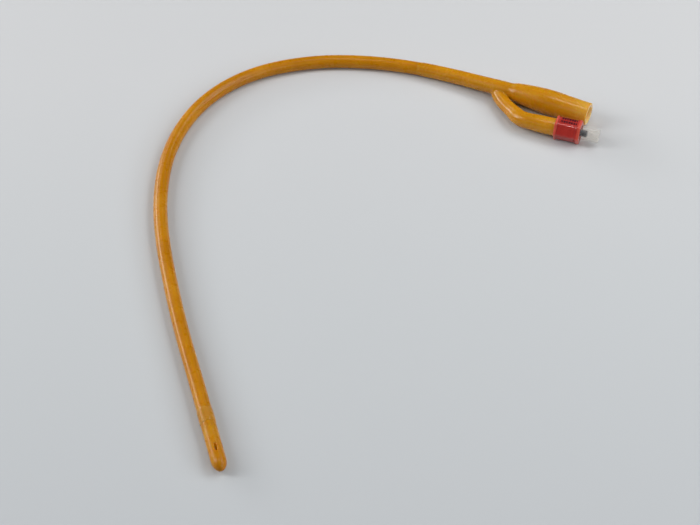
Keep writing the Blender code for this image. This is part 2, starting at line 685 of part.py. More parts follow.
def make_stem(finish, parent):
    """Sliding stem: slotted head in the port, neck for the seal, spring flange and tail."""
    head, neck = STEM_OD / 2, STEM_NECK_OD / 2
    top, flange_r = STEM_HEAD_ABOVE_COLLAR, CHAMBER_R - SEAT_GAP
    tail_end = STEM_FLANGE_BASE - STEM_TAIL
    body = turned("valve_stem", [
        (top, 0.0),
        (top, head - STEM_CHAMFER),
        (top - STEM_CHAMFER, head),
        (SEAL_TOP + SEAT_GAP, head),
        (SEAL_TOP + SEAT_GAP, neck),
        (STEM_FLANGE_TOP, neck),
        (STEM_FLANGE_TOP, flange_r),
        (STEM_FLANGE_BASE, flange_r),
        (STEM_FLANGE_BASE, neck),
        (tail_end + STEM_CHAMFER, neck),
        (tail_end, neck - STEM_CHAMFER),
        (tail_end, 0.0),
    ], 16, finish, parent)
    half = STEM_SLOT / 2
    for name, quarter in (("stem_slot_a", 0.0), ("stem_slot_b", math.pi / 2)):
        level = Vector((0.0, math.cos(quarter), math.sin(quarter)))
        across = Vector((0.0, -math.sin(quarter), math.cos(quarter)))
        corners = [(-STEM_OD, -half), (STEM_OD, -half), (STEM_OD, half), (-STEM_OD, half)]
        rings = [
            [Vector((along, 0.0, 0.0)) + level * a + across * b for a, b in corners]
            for along in (top - STEM_SLOT, top + STEM_SLOT)
        ]
        boolean(body, skin(name, rings, parent=parent), "DIFFERENCE")
    return body


def make_seal(finish, parent):
    """Soft ring between the stem's head and its flange, which closes on the throat."""
    outer, inner, edge = CHAMBER_R - SEAT_GAP, STEM_NECK_OD / 2 + SEAT_GAP, SEAL_CHAMFER
    return turned("stem_seal", [
        (SEAL_TOP, inner),
        (SEAL_TOP, outer - edge),
        (SEAL_TOP - edge, outer),
        (SEAL_BASE + edge, outer),
        (SEAL_BASE, outer - edge),
        (SEAL_BASE, inner),
    ], TURNED_SIDES, finish, parent)


def make_spring(finish, parent):
    """Coil spring round the stem's tail, its end coils laid close."""
    wire, radius = SPRING_WIRE / 2, SPRING_MEAN_D / 2
    top = STEM_FLANGE_BASE - SEAT_GAP - wire
    base = OUTLET_TOP + SEAT_GAP + wire
    close = SPRING_WIRE * 1.15
    steps = int(SPRING_TURNS * 14)
    turns = np.linspace(0.0, SPRING_TURNS, steps + 1)
    coils = [0.0, 1.0, SPRING_TURNS - 1.0, SPRING_TURNS]
    heights = np.interp(turns, coils, [base, base + close, top - close, top])
    centres = [
        Vector((x, radius * math.cos(2 * math.pi * t), radius * math.sin(2 * math.pi * t)))
        for x, t in zip(heights, turns)
    ]
    rings = []
    for k, centre in enumerate(centres):
        way = (centres[min(k + 1, steps)] - centres[max(k - 1, 0)]).normalized()
        out = Vector((0.0, centre.y, centre.z)).normalized()
        out = (out - way * out.dot(way)).normalized()
        along = way.cross(out)
        angles = [2 * math.pi * j / 6 for j in range(6)]
        rings.append([centre + wire * (math.cos(a) * out + math.sin(a) * along) for a in angles])
    return skin("valve_spring", rings, finish, parent)


def build():
    """Make every piece in its place."""
    clear_scene()
    latex = material("latex", (0.50, 0.21, 0.02), 0.38)
    pale_latex = material("balloon_latex", (0.55, 0.29, 0.08), 0.45)
    moulded_latex = material("moulded_latex", (0.50, 0.22, 0.02), 0.40)
    red = material("red_plastic", (0.62, 0.06, 0.04), 0.30)
    clear = material("clear_plastic", (0.75, 0.76, 0.72), 0.20, transmission=0.6)
    white = material("white_plastic", (0.78, 0.78, 0.76), 0.35)
    slate = material("slate_plastic", (0.06, 0.08, 0.10), 0.40)
    rubber = material("seal_rubber", (0.03, 0.03, 0.03), 0.60)
    steel = material("spring_steel", (0.60, 0.60, 0.60), 0.25, metallic=1.0)

    catheter = empty("catheter")
    route = main_route()
    arm = arm_route()
    make_tip(route, latex, catheter)
    make_shaft(route, latex, catheter)
    make_balloon(route, pale_latex, catheter)
    make_y_funnel(route, arm, moulded_latex, catheter)

    valve = empty("valve_axis", valve_point(0.0), VALVE_HEADING, catheter)
    make_collar(red, valve)
    make_port_housing(clear, valve)
    make_outlet(white, valve)
    make_spring(steel, valve)
    stem = empty("stem_axis", parent=valve)
    make_stem(slate, stem)
    make_seal(rubber, stem)


build()
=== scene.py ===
"""Looks of a two-way latex catheter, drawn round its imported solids.

Metres, +Z up, in the frame of the solids. Every new surface is a grid of two parameters: how far
along a line, and how far round it. A line's own directions are its way, its level side and its up.
"""

import math

import bmesh
import bpy
import numpy as np
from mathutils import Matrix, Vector


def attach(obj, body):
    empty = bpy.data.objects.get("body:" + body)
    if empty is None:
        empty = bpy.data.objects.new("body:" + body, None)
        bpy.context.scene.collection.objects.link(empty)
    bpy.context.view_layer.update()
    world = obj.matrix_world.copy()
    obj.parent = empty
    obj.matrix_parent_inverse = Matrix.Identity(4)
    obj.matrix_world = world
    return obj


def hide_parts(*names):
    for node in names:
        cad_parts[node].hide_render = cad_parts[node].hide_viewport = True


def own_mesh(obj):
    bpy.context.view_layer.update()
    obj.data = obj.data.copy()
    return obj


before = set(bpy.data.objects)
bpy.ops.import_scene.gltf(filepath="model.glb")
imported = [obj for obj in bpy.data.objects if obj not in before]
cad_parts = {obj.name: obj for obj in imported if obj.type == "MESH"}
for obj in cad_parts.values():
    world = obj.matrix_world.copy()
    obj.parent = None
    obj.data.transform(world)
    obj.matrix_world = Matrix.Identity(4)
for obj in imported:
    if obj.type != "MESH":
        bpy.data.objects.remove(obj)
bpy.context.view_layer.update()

# Camera of the photograph, in the frame of the solids
CAMERA_PLACE = (0.25875, -0.5067, 0.5669)
CAMERA_TURN = math.radians(25.5)
CAMERA_DIP = math.radians(45.5)
SENSOR_WIDTH = 36.0
PHOTO_WIDTH = 700.0
FOCAL_PIXELS = 1900.0
HALF_PIXEL = 0.5 / PHOTO_WIDTH

# Shaft
SHAFT_R = 0.0030
LUMEN_R = 0.0016
LUMEN_OFFSET = -0.00035
SPIGOT_R = 0.0025
SPIGOT_LENGTH = 0.0050
SEAT_GAP = 0.0003
HAIRLINE = 0.00002
SOCKET_R = 0.00275

# Tip and its eyes
TIP_LENGTH = 0.02115
TIP_STRAIGHT = 0.03965
NOSE_LENGTH = 0.0050
TIP_FLOOR = 0.0054
TIP_FLOOR_ROUNDING = 0.0012
TIP_EDGE = 0.0002
EYE_HALF_LENGTH = 0.0018
EYE_HALF_WIDTH = 0.00045
EYE_LIP = 0.0007
EYE_TURN = math.radians(1.5)
EYE_TOP_AT = 0.00955
EYE_BOTTOM_AT = 0.01265
EYE_PATCH_HALF = 0.0028

# Balloon sleeve
BALLOON_AT = 0.02305
BALLOON_LENGTH = 0.0071
BALLOON_R = 0.0032
BALLOON_BORE_R = 0.00291
RECESS_R = 0.00271
RECESS_GAP = 0.00002

# Moulded Y: distances back from the funnel's mouth
MOULDING_LENGTH = 0.0835
NECK_EDGE = 0.0030
NECK_R = 0.0032
NECK_FULL_R = 0.0035
NECK_FULL_BACK = 0.0420
SHOULDER_BACK = 0.0344
SHOULDER_RISE = 0.0038
SHOULDER_R = 0.0044
CONE_FULLNESS = 0.5
BULGE_BACK = 0.0200
BULGE_R = 0.00575
MOUTH_R = 0.0051
MOUTH_BORE_R = 0.0034
FUNNEL_BORE_R = 0.0032
FUNNEL_BORE_DEPTH = 0.0220
FUNNEL_CONE_DEPTH = 0.0375

# Inflation arm, along its line from the middle of its rounded heel
ARM_ROOT_BACK = 0.0442
ARM_ROOT_R = 0.0031
ARM_ELBOW_R = 0.0036
ARM_ELBOW_AT = 0.01475
ARM_ELBOW_RISE = 0.0080
ARM_FULL_BEFORE_COLLAR = 0.0030
ARM_END_R = 0.00395
ARM_SOCKET_R = 0.00315
ARM_BORE_R = 0.0007
ARM_CLEAR = 0.0068
CROTCH_FILLET = 0.0008
CHANNEL_DEPTH = 0.0040

# Block of the Y's grid that is left open for the arm: distances from the arm's root, and columns
BLOCK_BEHIND = 0.0034
BLOCK_BEFORE = 0.0084
BLOCK_HALF_COLUMNS = 25
BLOCK_COLUMN = 33
FINE_MARGIN = 0.0011
FINE_ROW = 0.00034

# Valve, along its own axis from the collar's outer face
COLLAR_LENGTH = 0.0116
COLLAR_HALF_FLATS = 0.0050
COLLAR_BORE_R = 0.00425
COLLAR_FRONT = 0.0015
RIM_STEP = 0.00035
RIM_BACK = 0.0011
RIM_FRONT = 0.0019
RIDGE_R = 0.0014
PORT_R = 0.0030
PORT_HOLE_R = 0.0033
PORT_LENGTH = 0.0082
PORT_LIP = 0.0001
PORT_BORE_R = 0.00215
PORT_CONE_DEPTH = 0.0074
PORT_TAPER = 0.03
FLANGE_FACE = -0.0018
FLANGE_BACK = -0.0029
BARREL_R = 0.0029
CHAMBER_R = 0.0024
THROAT_R = 0.00175
THROAT_SEAT = -0.0009
BARREL_END = -0.0129
ARM_END_FACE = -0.0032
ARM_SOCKET_FLOOR = -0.0155
SPRING_WIRE_R = 0.0002
SPRING_R = 0.0015
SPRING_TURNS = 6.5
SPRING_BASE = -0.0107
SPRING_TOP = -0.0037
LINE_BEHIND = 0.020
LINE_BEFORE = 0.012
MILKY_FROM_TO = (0.0225, 0.0260)

# Where the catheter lies. The climb goes from lying on the table (0) to the height of the
# funnel's axis (1).
TIP_END = (0.02347, -0.12613)
TIP_HEADING = math.radians(130.7)
SHAFT_ROUTE = np.array([
    (-0.0232, -0.0720), (-0.0408, -0.0502), (-0.0574, -0.0278), (-0.0650, -0.0161),
    (-0.0718, -0.0038), (-0.0775, 0.0090), (-0.0818, 0.0225), (-0.0842, 0.0363),
    (-0.0845, 0.0503), (-0.0822, 0.0640), (-0.0772, 0.0767), (-0.0695, 0.0882),
    (-0.0594, 0.0980), (-0.0478, 0.1061), (-0.0351, 0.1123), (-0.0219, 0.1169),
    (-0.0083, 0.1200), (0.0056, 0.1216), (0.0170, 0.1219), (0.0280, 0.1217),
])
SHAFT_CLIMB = np.array([0.0] * 15 + [0.03, 0.09, 0.22, 0.42, 0.70])
FUNNEL_START = (0.0400, 0.1215)
MOUTH = (0.0776, 0.1215)
FUNNEL_AXIS_Z = BULGE_R

# The arm's points and the collar's outer face, from the middle of the mouth. The third number
# of an arm point is its height above the table.
ARM_ROUTE = np.array([
    (-0.0432, -0.0015, 0.0033), (-0.0397, -0.0055, 0.0035), (-0.0361, -0.0085, 0.0038),
    (-0.03225, -0.01125, 0.00415), (-0.0290, -0.0135, 0.00445), (-0.0267, -0.0146, 0.00465),
    (-0.0243, -0.0150, 0.00485), (-0.0204, -0.0148, 0.0050),
])
ARM_HEADING = math.radians(-56.0)
VALVE_FACE = (0.0009, -0.0124)
VALVE_HEADING = math.radians(7.0)
VALVE_AXIS_Z = COLLAR_HALF_FLATS

# Marks on the collar's upper flat
MARK_ACROSS = -0.0006
MARK_ROW = 0.00105
MARK_HALF_WIDTH = 0.0007
MARK_MIDDLE = -0.0058
MARK_HALF_LENGTH = 0.0037
MARK_PITCH = 0.0011
MARK_SHARE = 0.7
MARK_WANDER = 0.7

# Lamps: turn and rise from the camera's view in degrees, distance, width, height and share
LAMP_AIM = (0.0, 0.02, 0.0)
LAMPS = (
    ("right_high", 90, 50, 1.0, 0.5, 0.5, 0.19),
    ("left_high", -90, 42, 1.2, 0.5, 0.5, 0.20),
    ("back_right", 47, 50, 0.8, 0.4, 0.35, 0.16),
    ("right_window", 90, 28, 1.5, 0.4, 0.4, 0.08),
    ("left_window", -90, 24, 1.5, 0.4, 0.4, 0.095),
    ("front_right_low", 122, 20, 1.5, 0.3, 0.3, 0.05),
    ("front_right", 144, 36, 1.5, 0.3, 0.3, 0.055),
    ("back_left_strip", -56, 14, 1.5, 0.9, 0.26, 0.088),
    ("back_left", -28, 33, 1.5, 0.4, 0.4, 0.035),
    ("overhead", -20, 85, 1.1, 0.11, 0.11, 0.09),
    ("front_left", -140, 35, 1.5, 0.5, 0.5, 0.02),
)
TABLE_HALF = 3.0

# Fineness of the surfaces
LINE_STEP = 0.00025
ROW = 0.0005
SHAFT_AROUND = 64
AROUND = 96
UPWARD = np.array((0.0, 0.0, 1.0))


def camera():
    """Camera at the photograph's place and angle."""
    data = bpy.data.cameras.new("photo_camera")
    data.sensor_fit = "HORIZONTAL"
    data.sensor_width = SENSOR_WIDTH
    data.lens = SENSOR_WIDTH * FOCAL_PIXELS / PHOTO_WIDTH
    data.clip_start, data.clip_end = 0.01, 20.0
    data.shift_x, data.shift_y = -HALF_PIXEL, HALF_PIXEL
    made = bpy.data.objects.new("photo_camera", data)
    made.location = CAMERA_PLACE
    made.rotation_euler = (math.pi / 2 - CAMERA_DIP, 0.0, CAMERA_TURN)
    bpy.context.scene.collection.objects.link(made)
    bpy.context.scene.camera = made


def unit(vectors):
    """Vectors of length one."""
    return vectors / np.linalg.norm(vectors, axis=-1, keepdims=True)


def level_way(heading):
    """Level direction at a heading from +X."""
    return np.array((math.cos(heading), math.sin(heading), 0.0))


class Line:
    """Line through close points, read by distance: its centre, way, level side and up."""

    def __init__(self, points):
        self.points = np.asarray(points, float)
        hops = np.linalg.norm(np.diff(self.points, axis=0), axis=1)
        self.reached = np.concatenate([[0.0], np.cumsum(hops)])
        self.ways = unit(np.gradient(self.points, self.reached, axis=0))
        self.length = float(self.reached[-1])

    def at(self, distance):
        """Centre, way, side and up at each distance; past its ends the line runs on straight."""
        distance = np.asarray(distance, float)
        inside = np.clip(distance, 0.0, self.length)
        centre = np.stack([np.interp(inside, self.reached, c) for c in self.points.T], -1)
        way = unit(np.stack([np.interp(inside, self.reached, c) for c in self.ways.T], -1))
        centre = centre + way * (distance - inside)[..., None]
        side = unit(np.cross(way, UPWARD))
        return centre, way, side, np.cross(side, way)


def clamped_spline(points, start_way, end_way):
    """Smooth curve through points, with its first and last directions given.

    With chords h and slopes m, inner slopes solve h1 m0 + 2(h0+h1) m1 + h0 m2 =
    3(h1 (p1-p0)/h0 + h0 (p2-p1)/h1). Each span is then
    (2t3-3t2+1)p0 + (t3-2t2+t)h m0 + (3t2-2t3)p1 + (t3-t2)h m1.
    """
    chords = np.linalg.norm(np.diff(points, axis=0), axis=1)
    before, after = chords[:-1, None], chords[1:, None]
    rises = np.diff(points, axis=0) / chords[:, None]
    system = np.eye(len(points))
    inner = np.arange(1, len(points) - 1)
    system[inner, inner - 1] = chords[1:]
    system[inner, inner] = 2 * (chords[:-1] + chords[1:])
    system[inner, inner + 1] = chords[:-1]
    wanted = np.vstack([start_way, 3 * (after * rises[:-1] + before * rises[1:]), end_way])
    slopes = np.linalg.solve(system, wanted)
    knots = np.concatenate([[0.0], np.cumsum(chords)])
    run = np.linspace(0.0, knots[-1], int(knots[-1] / LINE_STEP) + 2)
    span = np.clip(np.searchsorted(knots, run, side="right") - 1, 0, len(chords) - 1)
    chord = chords[span][:, None]
    t = (run - knots[span])[:, None] / chord
    return (
        (2 * t**3 - 3 * t**2 + 1) * points[span]
        + (t**3 - 2 * t**2 + t) * chord * slopes[span]
        + (3 * t**2 - 2 * t**3) * points[span + 1]
        + (t**3 - t**2) * chord * slopes[span + 1]
    )


def straight(start, end):
    """Close points on a straight line, without its end."""
    steps = max(2, int(np.linalg.norm(end - start) / LINE_STEP))
    return start + np.linspace(0.0, 1.0, steps, endpoint=False)[:, None] * (end - start)


def main_line():
    """Centreline from the tip's end to the funnel's mouth."""
    heading = level_way(TIP_HEADING)
    tip_end = np.array((*TIP_END, BALLOON_R))
    straight_end = tip_end + TIP_STRAIGHT * heading
    route = np.column_stack([SHAFT_ROUTE, SHAFT_R + SHAFT_CLIMB * (FUNNEL_AXIS_Z - SHAFT_R)])
    funnel_start = np.array((*FUNNEL_START, FUNNEL_AXIS_Z))
    mouth = np.array((*MOUTH, FUNNEL_AXIS_Z))
    curve = clamped_spline(np.vstack([straight_end, route, funnel_start]), heading, (1, 0, 0))
    curve[:, 2] = np.maximum(curve[:, 2], SHAFT_R)
    legs = [straight(tip_end, straight_end), curve[:-1], straight(funnel_start, mouth), mouth]
    return Line(np.vstack(legs))


def valve_point(along):
    """Point on the valve's axis, at a distance in front of the collar's outer face."""
    face = np.array((MOUTH[0] + VALVE_FACE[0], MOUTH[1] + VALVE_FACE[1], VALVE_AXIS_Z))
    return face + along * level_way(VALVE_HEADING)


def arm_line():
    """Centreline of the inflation arm, from the middle of its heel to its end in the collar."""
    route = ARM_ROUTE + (*MOUTH, 0.0)
    start, end = valve_point(ARM_SOCKET_FLOOR), valve_point(ARM_END_FACE)
    curve = clamped_spline(
        np.vstack([route, start]), level_way(ARM_HEADING), level_way(VALVE_HEADING)
    )
    return Line(np.vstack([curve[:-1], straight(start, end), end]))


def blend(t):
    """Rise from 0 to 1 that starts and ends level: t2 (3 - 2t)."""
    t = np.clip(t, 0.0, 1.0)
    return t * t * (3 - 2 * t)


def outline(corners, spacing=ROW, closed=False):
    """Profile through (along, out, rounding) corners, as arrays of distance along and radius.

    A corner b is replaced by (1-t)2 a + 2t(1-t) b + t2 c, where a and c lie on its two legs at
    the rounding's distance from it. Straight stretches get a point at each spacing.
    """
    corners = np.array(corners, float)
    spot, cut = corners[:, :2], corners[:, 2:3]
    before, after = np.roll(spot, 1, axis=0), np.roll(spot, -1, axis=0)
    if not closed:
        before[0], after[-1] = 2 * spot[0] - spot[1], 2 * spot[-1] - spot[-2]
    start = spot + unit(before - spot) * cut
    end = spot + unit(after - spot) * cut
    t = np.linspace(0.0, 1.0, 7)[:, None, None]
    bends = (1 - t) ** 2 * start + 2 * t * (1 - t) * spot + t**2 * end
    rows = []
    count = len(corners)
    for k in range(count):
        rows.append(bends[:, k] if cut[k, 0] > 0 else spot[k : k + 1])
        if k + 1 < count or closed:
            gap = start[(k + 1) % count] - end[k]
            steps = max(1, int(np.linalg.norm(gap) / spacing))
            rows.append(end[k] + np.linspace(0.0, 1.0, steps + 1)[1:-1, None] * gap)
    profile = np.vstack(rows)
    return profile[:, 0], profile[:, 1]


def angles(count, start=0.0):
    """Equal turns round a full circle."""
    return start + np.arange(count) * 2 * math.pi / count


def carried(line, along, radius, turn, offset=0.0):
    """Circles along a line: centre(s) + offset side + r (cos a side + sin a up).

    The second result is the same surface on a straightened line, (s, r cos a, r sin a), which
    the latex patterns are laid out on.
    """
    along = np.asarray(along, float)[:, None]
    radius = np.asarray(radius, float)
    radius = radius[:, None] if radius.ndim == 1 else radius
    offset = np.broadcast_to(np.asarray(offset, float), along[:, 0].shape)[:, None]
    centre, _, side, up = line.at(along)
    level = radius * np.cos(turn) + offset
    rise = radius * np.sin(turn)
    points = centre + level[..., None] * side + rise[..., None] * up
    lay = np.stack(np.broadcast_arrays(along, level, rise), -1)
    return points, lay


class Skin:
    """Mesh gathered from grids of points; edges that lie on each other are welded at the end."""

    def __init__(self):
        self.points, self.lays, self.faces, self.count = [], [], [], 0

    def add(self, rows, lay, loop=False, keep=None):
        """Add a grid whose last column joins its first; loop joins its last row to its first."""
        high, wide = rows.shape[:2]
        index = self.count + np.arange(high * wide).reshape(high, wide)
        index = np.hstack([index, index[:, :1]])
        if loop:
            index = np.vstack([index, index[:1]])
        quads = np.stack([index[:-1, :-1], index[:-1, 1:], index[1:, 1:], index[1:, :-1]], -1)
        self.faces.append(quads[keep] if keep is not None else quads.reshape(-1, 4))
        self.points.append(rows.reshape(-1, 3))
        self.lays.append(lay.reshape(-1, 3))
        self.count += high * wide

    def join(self, first, last, lay):
        """Add one strip between two rows of points that share a lay; a row may be one point."""
        self.add(np.stack(np.broadcast_arrays(first, last)), np.stack([lay, lay]))

    def object(self, name, finish, node):
        """Weld, turn the faces outward, shade smooth, and let the piece stand for a node."""
        mesh = bpy.data.meshes.new(name)
        points, faces = np.vstack(self.points), np.vstack(self.faces)
        mesh.from_pydata(points, [], faces)
        lay = mesh.attributes.new("lay", "FLOAT_VECTOR", "POINT")
        lay.data.foreach_set("vector", np.vstack(self.lays).astype(np.float32).ravel())
        work = bmesh.new()
        work.from_mesh(mesh)
        bmesh.ops.remove_doubles(work, verts=work.verts, dist=1e-7)
        bmesh.ops.dissolve_degenerate(work, edges=work.edges, dist=1e-8)
        bmesh.ops.recalc_face_normals(work, faces=work.faces)
        work.to_mesh(mesh)
        work.free()
        mesh.shade_smooth()
        mesh.materials.append(finish)
        made = bpy.data.objects.new(name, mesh)
        bpy.context.scene.collection.objects.link(made)
        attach(made, "catheter")
        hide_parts(node)
        return made


def make_shaft(main, finish):
    """Double-walled tube: outside out and back along the lumen, one closed ring of rows."""
    start, end = TIP_LENGTH + HAIRLINE, main.length - MOULDING_LENGTH - HAIRLINE
    recess = (BALLOON_AT - RECESS_GAP, BALLOON_AT + BALLOON_LENGTH + RECESS_GAP)
    edge = 0.0002
    along, radius = outline([
        (start - SPIGOT_LENGTH, LUMEN_R, edge),
        (start - SPIGOT_LENGTH, SPIGOT_R, edge),
        (start, SPIGOT_R, 0.0),
        (start, SHAFT_R, edge / 5),
        (recess[0], SHAFT_R, edge / 4),
        (recess[0], RECESS_R, edge / 4),
        (recess[1], RECESS_R, edge / 4),
        (recess[1], SHAFT_R, edge / 4),
        (end, SHAFT_R, edge / 5),
        (end, SPIGOT_R, 0.0),
        (end + SPIGOT_LENGTH, SPIGOT_R, edge),
        (end + SPIGOT_LENGTH, LUMEN_R, edge),
    ], ROW * 1.4, closed=True)
    turn = angles(SHAFT_AROUND)
    offset = np.where(radius < (LUMEN_R + SPIGOT_R) / 2, LUMEN_OFFSET, 0.0)
    skin = Skin()
    skin.add(*carried(main, along, radius, turn, offset), loop=True)
    made = skin.object("soft_shaft", finish, "shaft_tube")
    return made, start, end


def make_balloon(main, finish):
    """Slack sleeve: its radius swells a little and its folds r + w sin(n a) fade to both ends."""
    lip = 0.00004
    start, end = BALLOON_AT, BALLOON_AT + BALLOON_LENGTH
    along, radius = outline([
        (start, BALLOON_BORE_R, lip),
        (start, SHAFT_R + 2 * lip, lip),
        (start + 0.0013, BALLOON_R, 0.0008),
        (end - 0.0008, BALLOON_R, 0.0005),
        (end, SHAFT_R + 2 * lip, lip),
        (end, BALLOON_BORE_R, lip),
    ], ROW / 2, closed=True)
    turn = angles(AROUND)
    outer = np.clip((radius - BALLOON_BORE_R) / (BALLOON_R - BALLOON_BORE_R), 0.0, 1.0)
    fade = np.sin(math.pi * np.clip((along - start) / BALLOON_LENGTH, 0.0, 1.0)) * outer
    folds = 0.000012 * np.sin(9 * turn + 1.3) + 0.000008 * np.sin(17 * turn)
    skin = Skin()
    skin.add(*carried(main, along, radius[:, None] + fade[:, None] * folds, turn), loop=True)
    return skin.object("balloon_band", finish, "balloon_sleeve")


def perimeter(low, high, left, right):
    """Row and column numbers round a block of a grid, from the middle of its last row."""
    middle = (left + right) // 2
    corners = np.array([
        (high, middle), (high, right), (low, right), (low, left), (high, left), (high, middle),
    ])
    legs = [
        start + np.arange(abs(end - start).max())[:, None] * np.sign(end - start)
        for start, end in zip(corners[:-1], corners[1:])
    ]
    return tuple(np.vstack(legs).T)


def make_tip(main, finish):
    """Blunt nose, socket behind, and two eyes with rounded lips that open into the lumen.

    The nose is a quarter of an ellipse turned round the line. Each eye is an oval of half
    lengths A and B round its own centre: s = A cos u, x = B sin u, carried from the outside
    down to the lumen, with x measured square to the eye's outward direction.
    """
    nose = np.linspace(0.0, math.pi / 2, 18)
    flat = 0.00003
    rise = (NOSE_LENGTH * (1 - np.cos(nose)), np.maximum(SHAFT_R * np.sin(nose), flat))
    body = np.linspace(NOSE_LENGTH, TIP_LENGTH - TIP_EDGE, 56)[1:]
    socket_floor = TIP_LENGTH - SPIGOT_LENGTH - SEAT_GAP
    back = outline([
        (TIP_LENGTH - TIP_EDGE, SHAFT_R, 0.0),
        (TIP_LENGTH, SHAFT_R, 0.00004),
        (TIP_LENGTH, SOCKET_R, 0.00008),
        (socket_floor, SOCKET_R, 0.00008),
        (socket_floor, LUMEN_R, 0.0),
    ])
    turn = angles(AROUND, -EYE_TURN)
    outer_s = np.concatenate([rise[0], body])
    outer_r = np.concatenate([rise[1], np.full(len(body), SHAFT_R)])
    outer, outer_lay = carried(main, outer_s, outer_r, turn)
    in_lumen = (body < socket_floor) & (body > TIP_FLOOR + TIP_FLOOR_ROUNDING)
    inner_s = body[in_lumen][::-1]
    inner_r = np.full(len(inner_s), LUMEN_R)
    inner, inner_lay = carried(main, inner_s, inner_r, turn, LUMEN_OFFSET)
    floor = np.linspace(0.0, math.pi / 2, 8)
    floor_s = TIP_FLOOR + TIP_FLOOR_ROUNDING * (1 - np.sin(floor))
    floor_r = np.maximum(LUMEN_R * np.cos(floor), flat)
    blind = carried(main, floor_s, floor_r, turn, LUMEN_OFFSET)
    skin = Skin()
    outer_keep = np.ones((len(outer_s) - 1, AROUND), bool)
    inner_keep = np.ones((len(inner_s) - 1, AROUND), bool)
    quarter, half_wide = AROUND // 4, AROUND // 6
    for at, turned, column in (
        (EYE_TOP_AT, EYE_TURN, quarter),
        (EYE_BOTTOM_AT, EYE_TURN + math.pi, 3 * quarter),
    ):
        low = int(np.searchsorted(outer_s, at - EYE_PATCH_HALF))
        high = int(np.searchsorted(outer_s, at + EYE_PATCH_HALF))
        deep_low = int(np.argmin(abs(inner_s - outer_s[low])))
        deep_high = deep_low + low - high
        left, right = column - half_wide, column + half_wide
        outer_keep[low:high, left:right] = False
        inner_keep[deep_high:deep_low, left:right] = False
        rows, columns = perimeter(low, high, left, right)
        deep_rows = deep_low + (low - rows)
        top_edge = outer[rows, columns], outer_lay[rows, columns]
        deep_edge = inner[deep_rows, columns], inner_lay[deep_rows, columns]
        swing = turn[columns] - turn[column]
        add_eye(skin, main, at, turned, swing, outer_s[rows], (top_edge, deep_edge))
    # Of the socket's rows, only the lumen's own circle is off the axis
    shift = np.where(back[1] <= LUMEN_R + 1e-9, LUMEN_OFFSET, 0.0)
    socket, socket_lay = carried(main, *back, turn, shift)
    skin.add(outer, outer_lay, keep=outer_keep)
    skin.add(socket, socket_lay)
    skin.add(inner, inner_lay, keep=inner_keep)
    skin.join(socket[-1], inner[0], inner_lay[0])
    skin.add(*blind)
    skin.join(inner[-1], blind[0][0], inner_lay[-1])
    for pole, offset in ((0.0, 0.0), (TIP_FLOOR, LUMEN_OFFSET)):
        skin.add(*carried(main, [pole, pole], [flat, 0.0], turn, offset))
    return skin.object("eyed_tip", finish, "rounded_tip")


def add_eye(skin, main, at, turned, swing, along, edges):
    """One eye: skin from the block's edge to the oval, its lip, its wall and the lumen's skin."""
    sin, cos = math.sin(turned), math.cos(turned)
    lumen_x, lumen_h = LUMEN_OFFSET * cos, LUMEN_OFFSET * sin
    ds = (along - at) / EYE_PATCH_HALF
    # The oval's parameter grows with the swing, from the end nearest the shaft
    u = np.arctan2(-swing / abs(swing).max(), ds)
    rows = []

    def place(s, x, h):
        centre, _, side, up = main.at(s)
        level = h * sin + x * cos
        rise = h * cos - x * sin
        points = centre + level[:, None] * side + rise[:, None] * up
        return points, np.stack([s, level, rise], -1)

    wide, long = EYE_HALF_WIDTH + EYE_LIP, EYE_HALF_LENGTH + EYE_LIP
    oval_x = wide * np.sin(u)
    oval_swing = -np.arcsin(oval_x / SHAFT_R)
    for t in np.linspace(0.0, 1.0, 9)[1:]:
        s = along + (at + long * np.cos(u) - along) * t
        a = swing + (oval_swing - swing) * t
        rows.append(place(s, -SHAFT_R * np.sin(a), SHAFT_R * np.cos(a)))
    for roll in np.linspace(0.0, math.pi / 2, 8)[1:]:
        shrink = EYE_LIP * math.sin(roll)
        x = (wide - shrink) * np.sin(u)
        s = at + (long - shrink) * np.cos(u)
        rows.append(place(s, x, np.sqrt(SHAFT_R**2 - x**2) - EYE_LIP * (1 - math.cos(roll))))
    x = EYE_HALF_WIDTH * np.sin(u)
    s = at + EYE_HALF_LENGTH * np.cos(u)
    top = np.sqrt(SHAFT_R**2 - x**2) - EYE_LIP
    bottom = lumen_h + np.sqrt(LUMEN_R**2 - (x - lumen_x) ** 2)
    for t in np.linspace(0.0, 1.0, 5)[1:]:
        rows.append(place(s, x, top + (bottom - top) * t))
    lumen_swing = np.arcsin((x - lumen_x) / LUMEN_R)
    for t in np.linspace(0.0, 1.0, 6)[1:-1]:
        a = lumen_swing + (-swing - lumen_swing) * t
        across = s + (along - s) * t
        rows.append(place(across, lumen_x + LUMEN_R * np.sin(a), lumen_h + LUMEN_R * np.cos(a)))
    grid, lay = (np.stack(part) for part in zip(edges[0], *rows, edges[1]))
    skin.add(grid, lay)


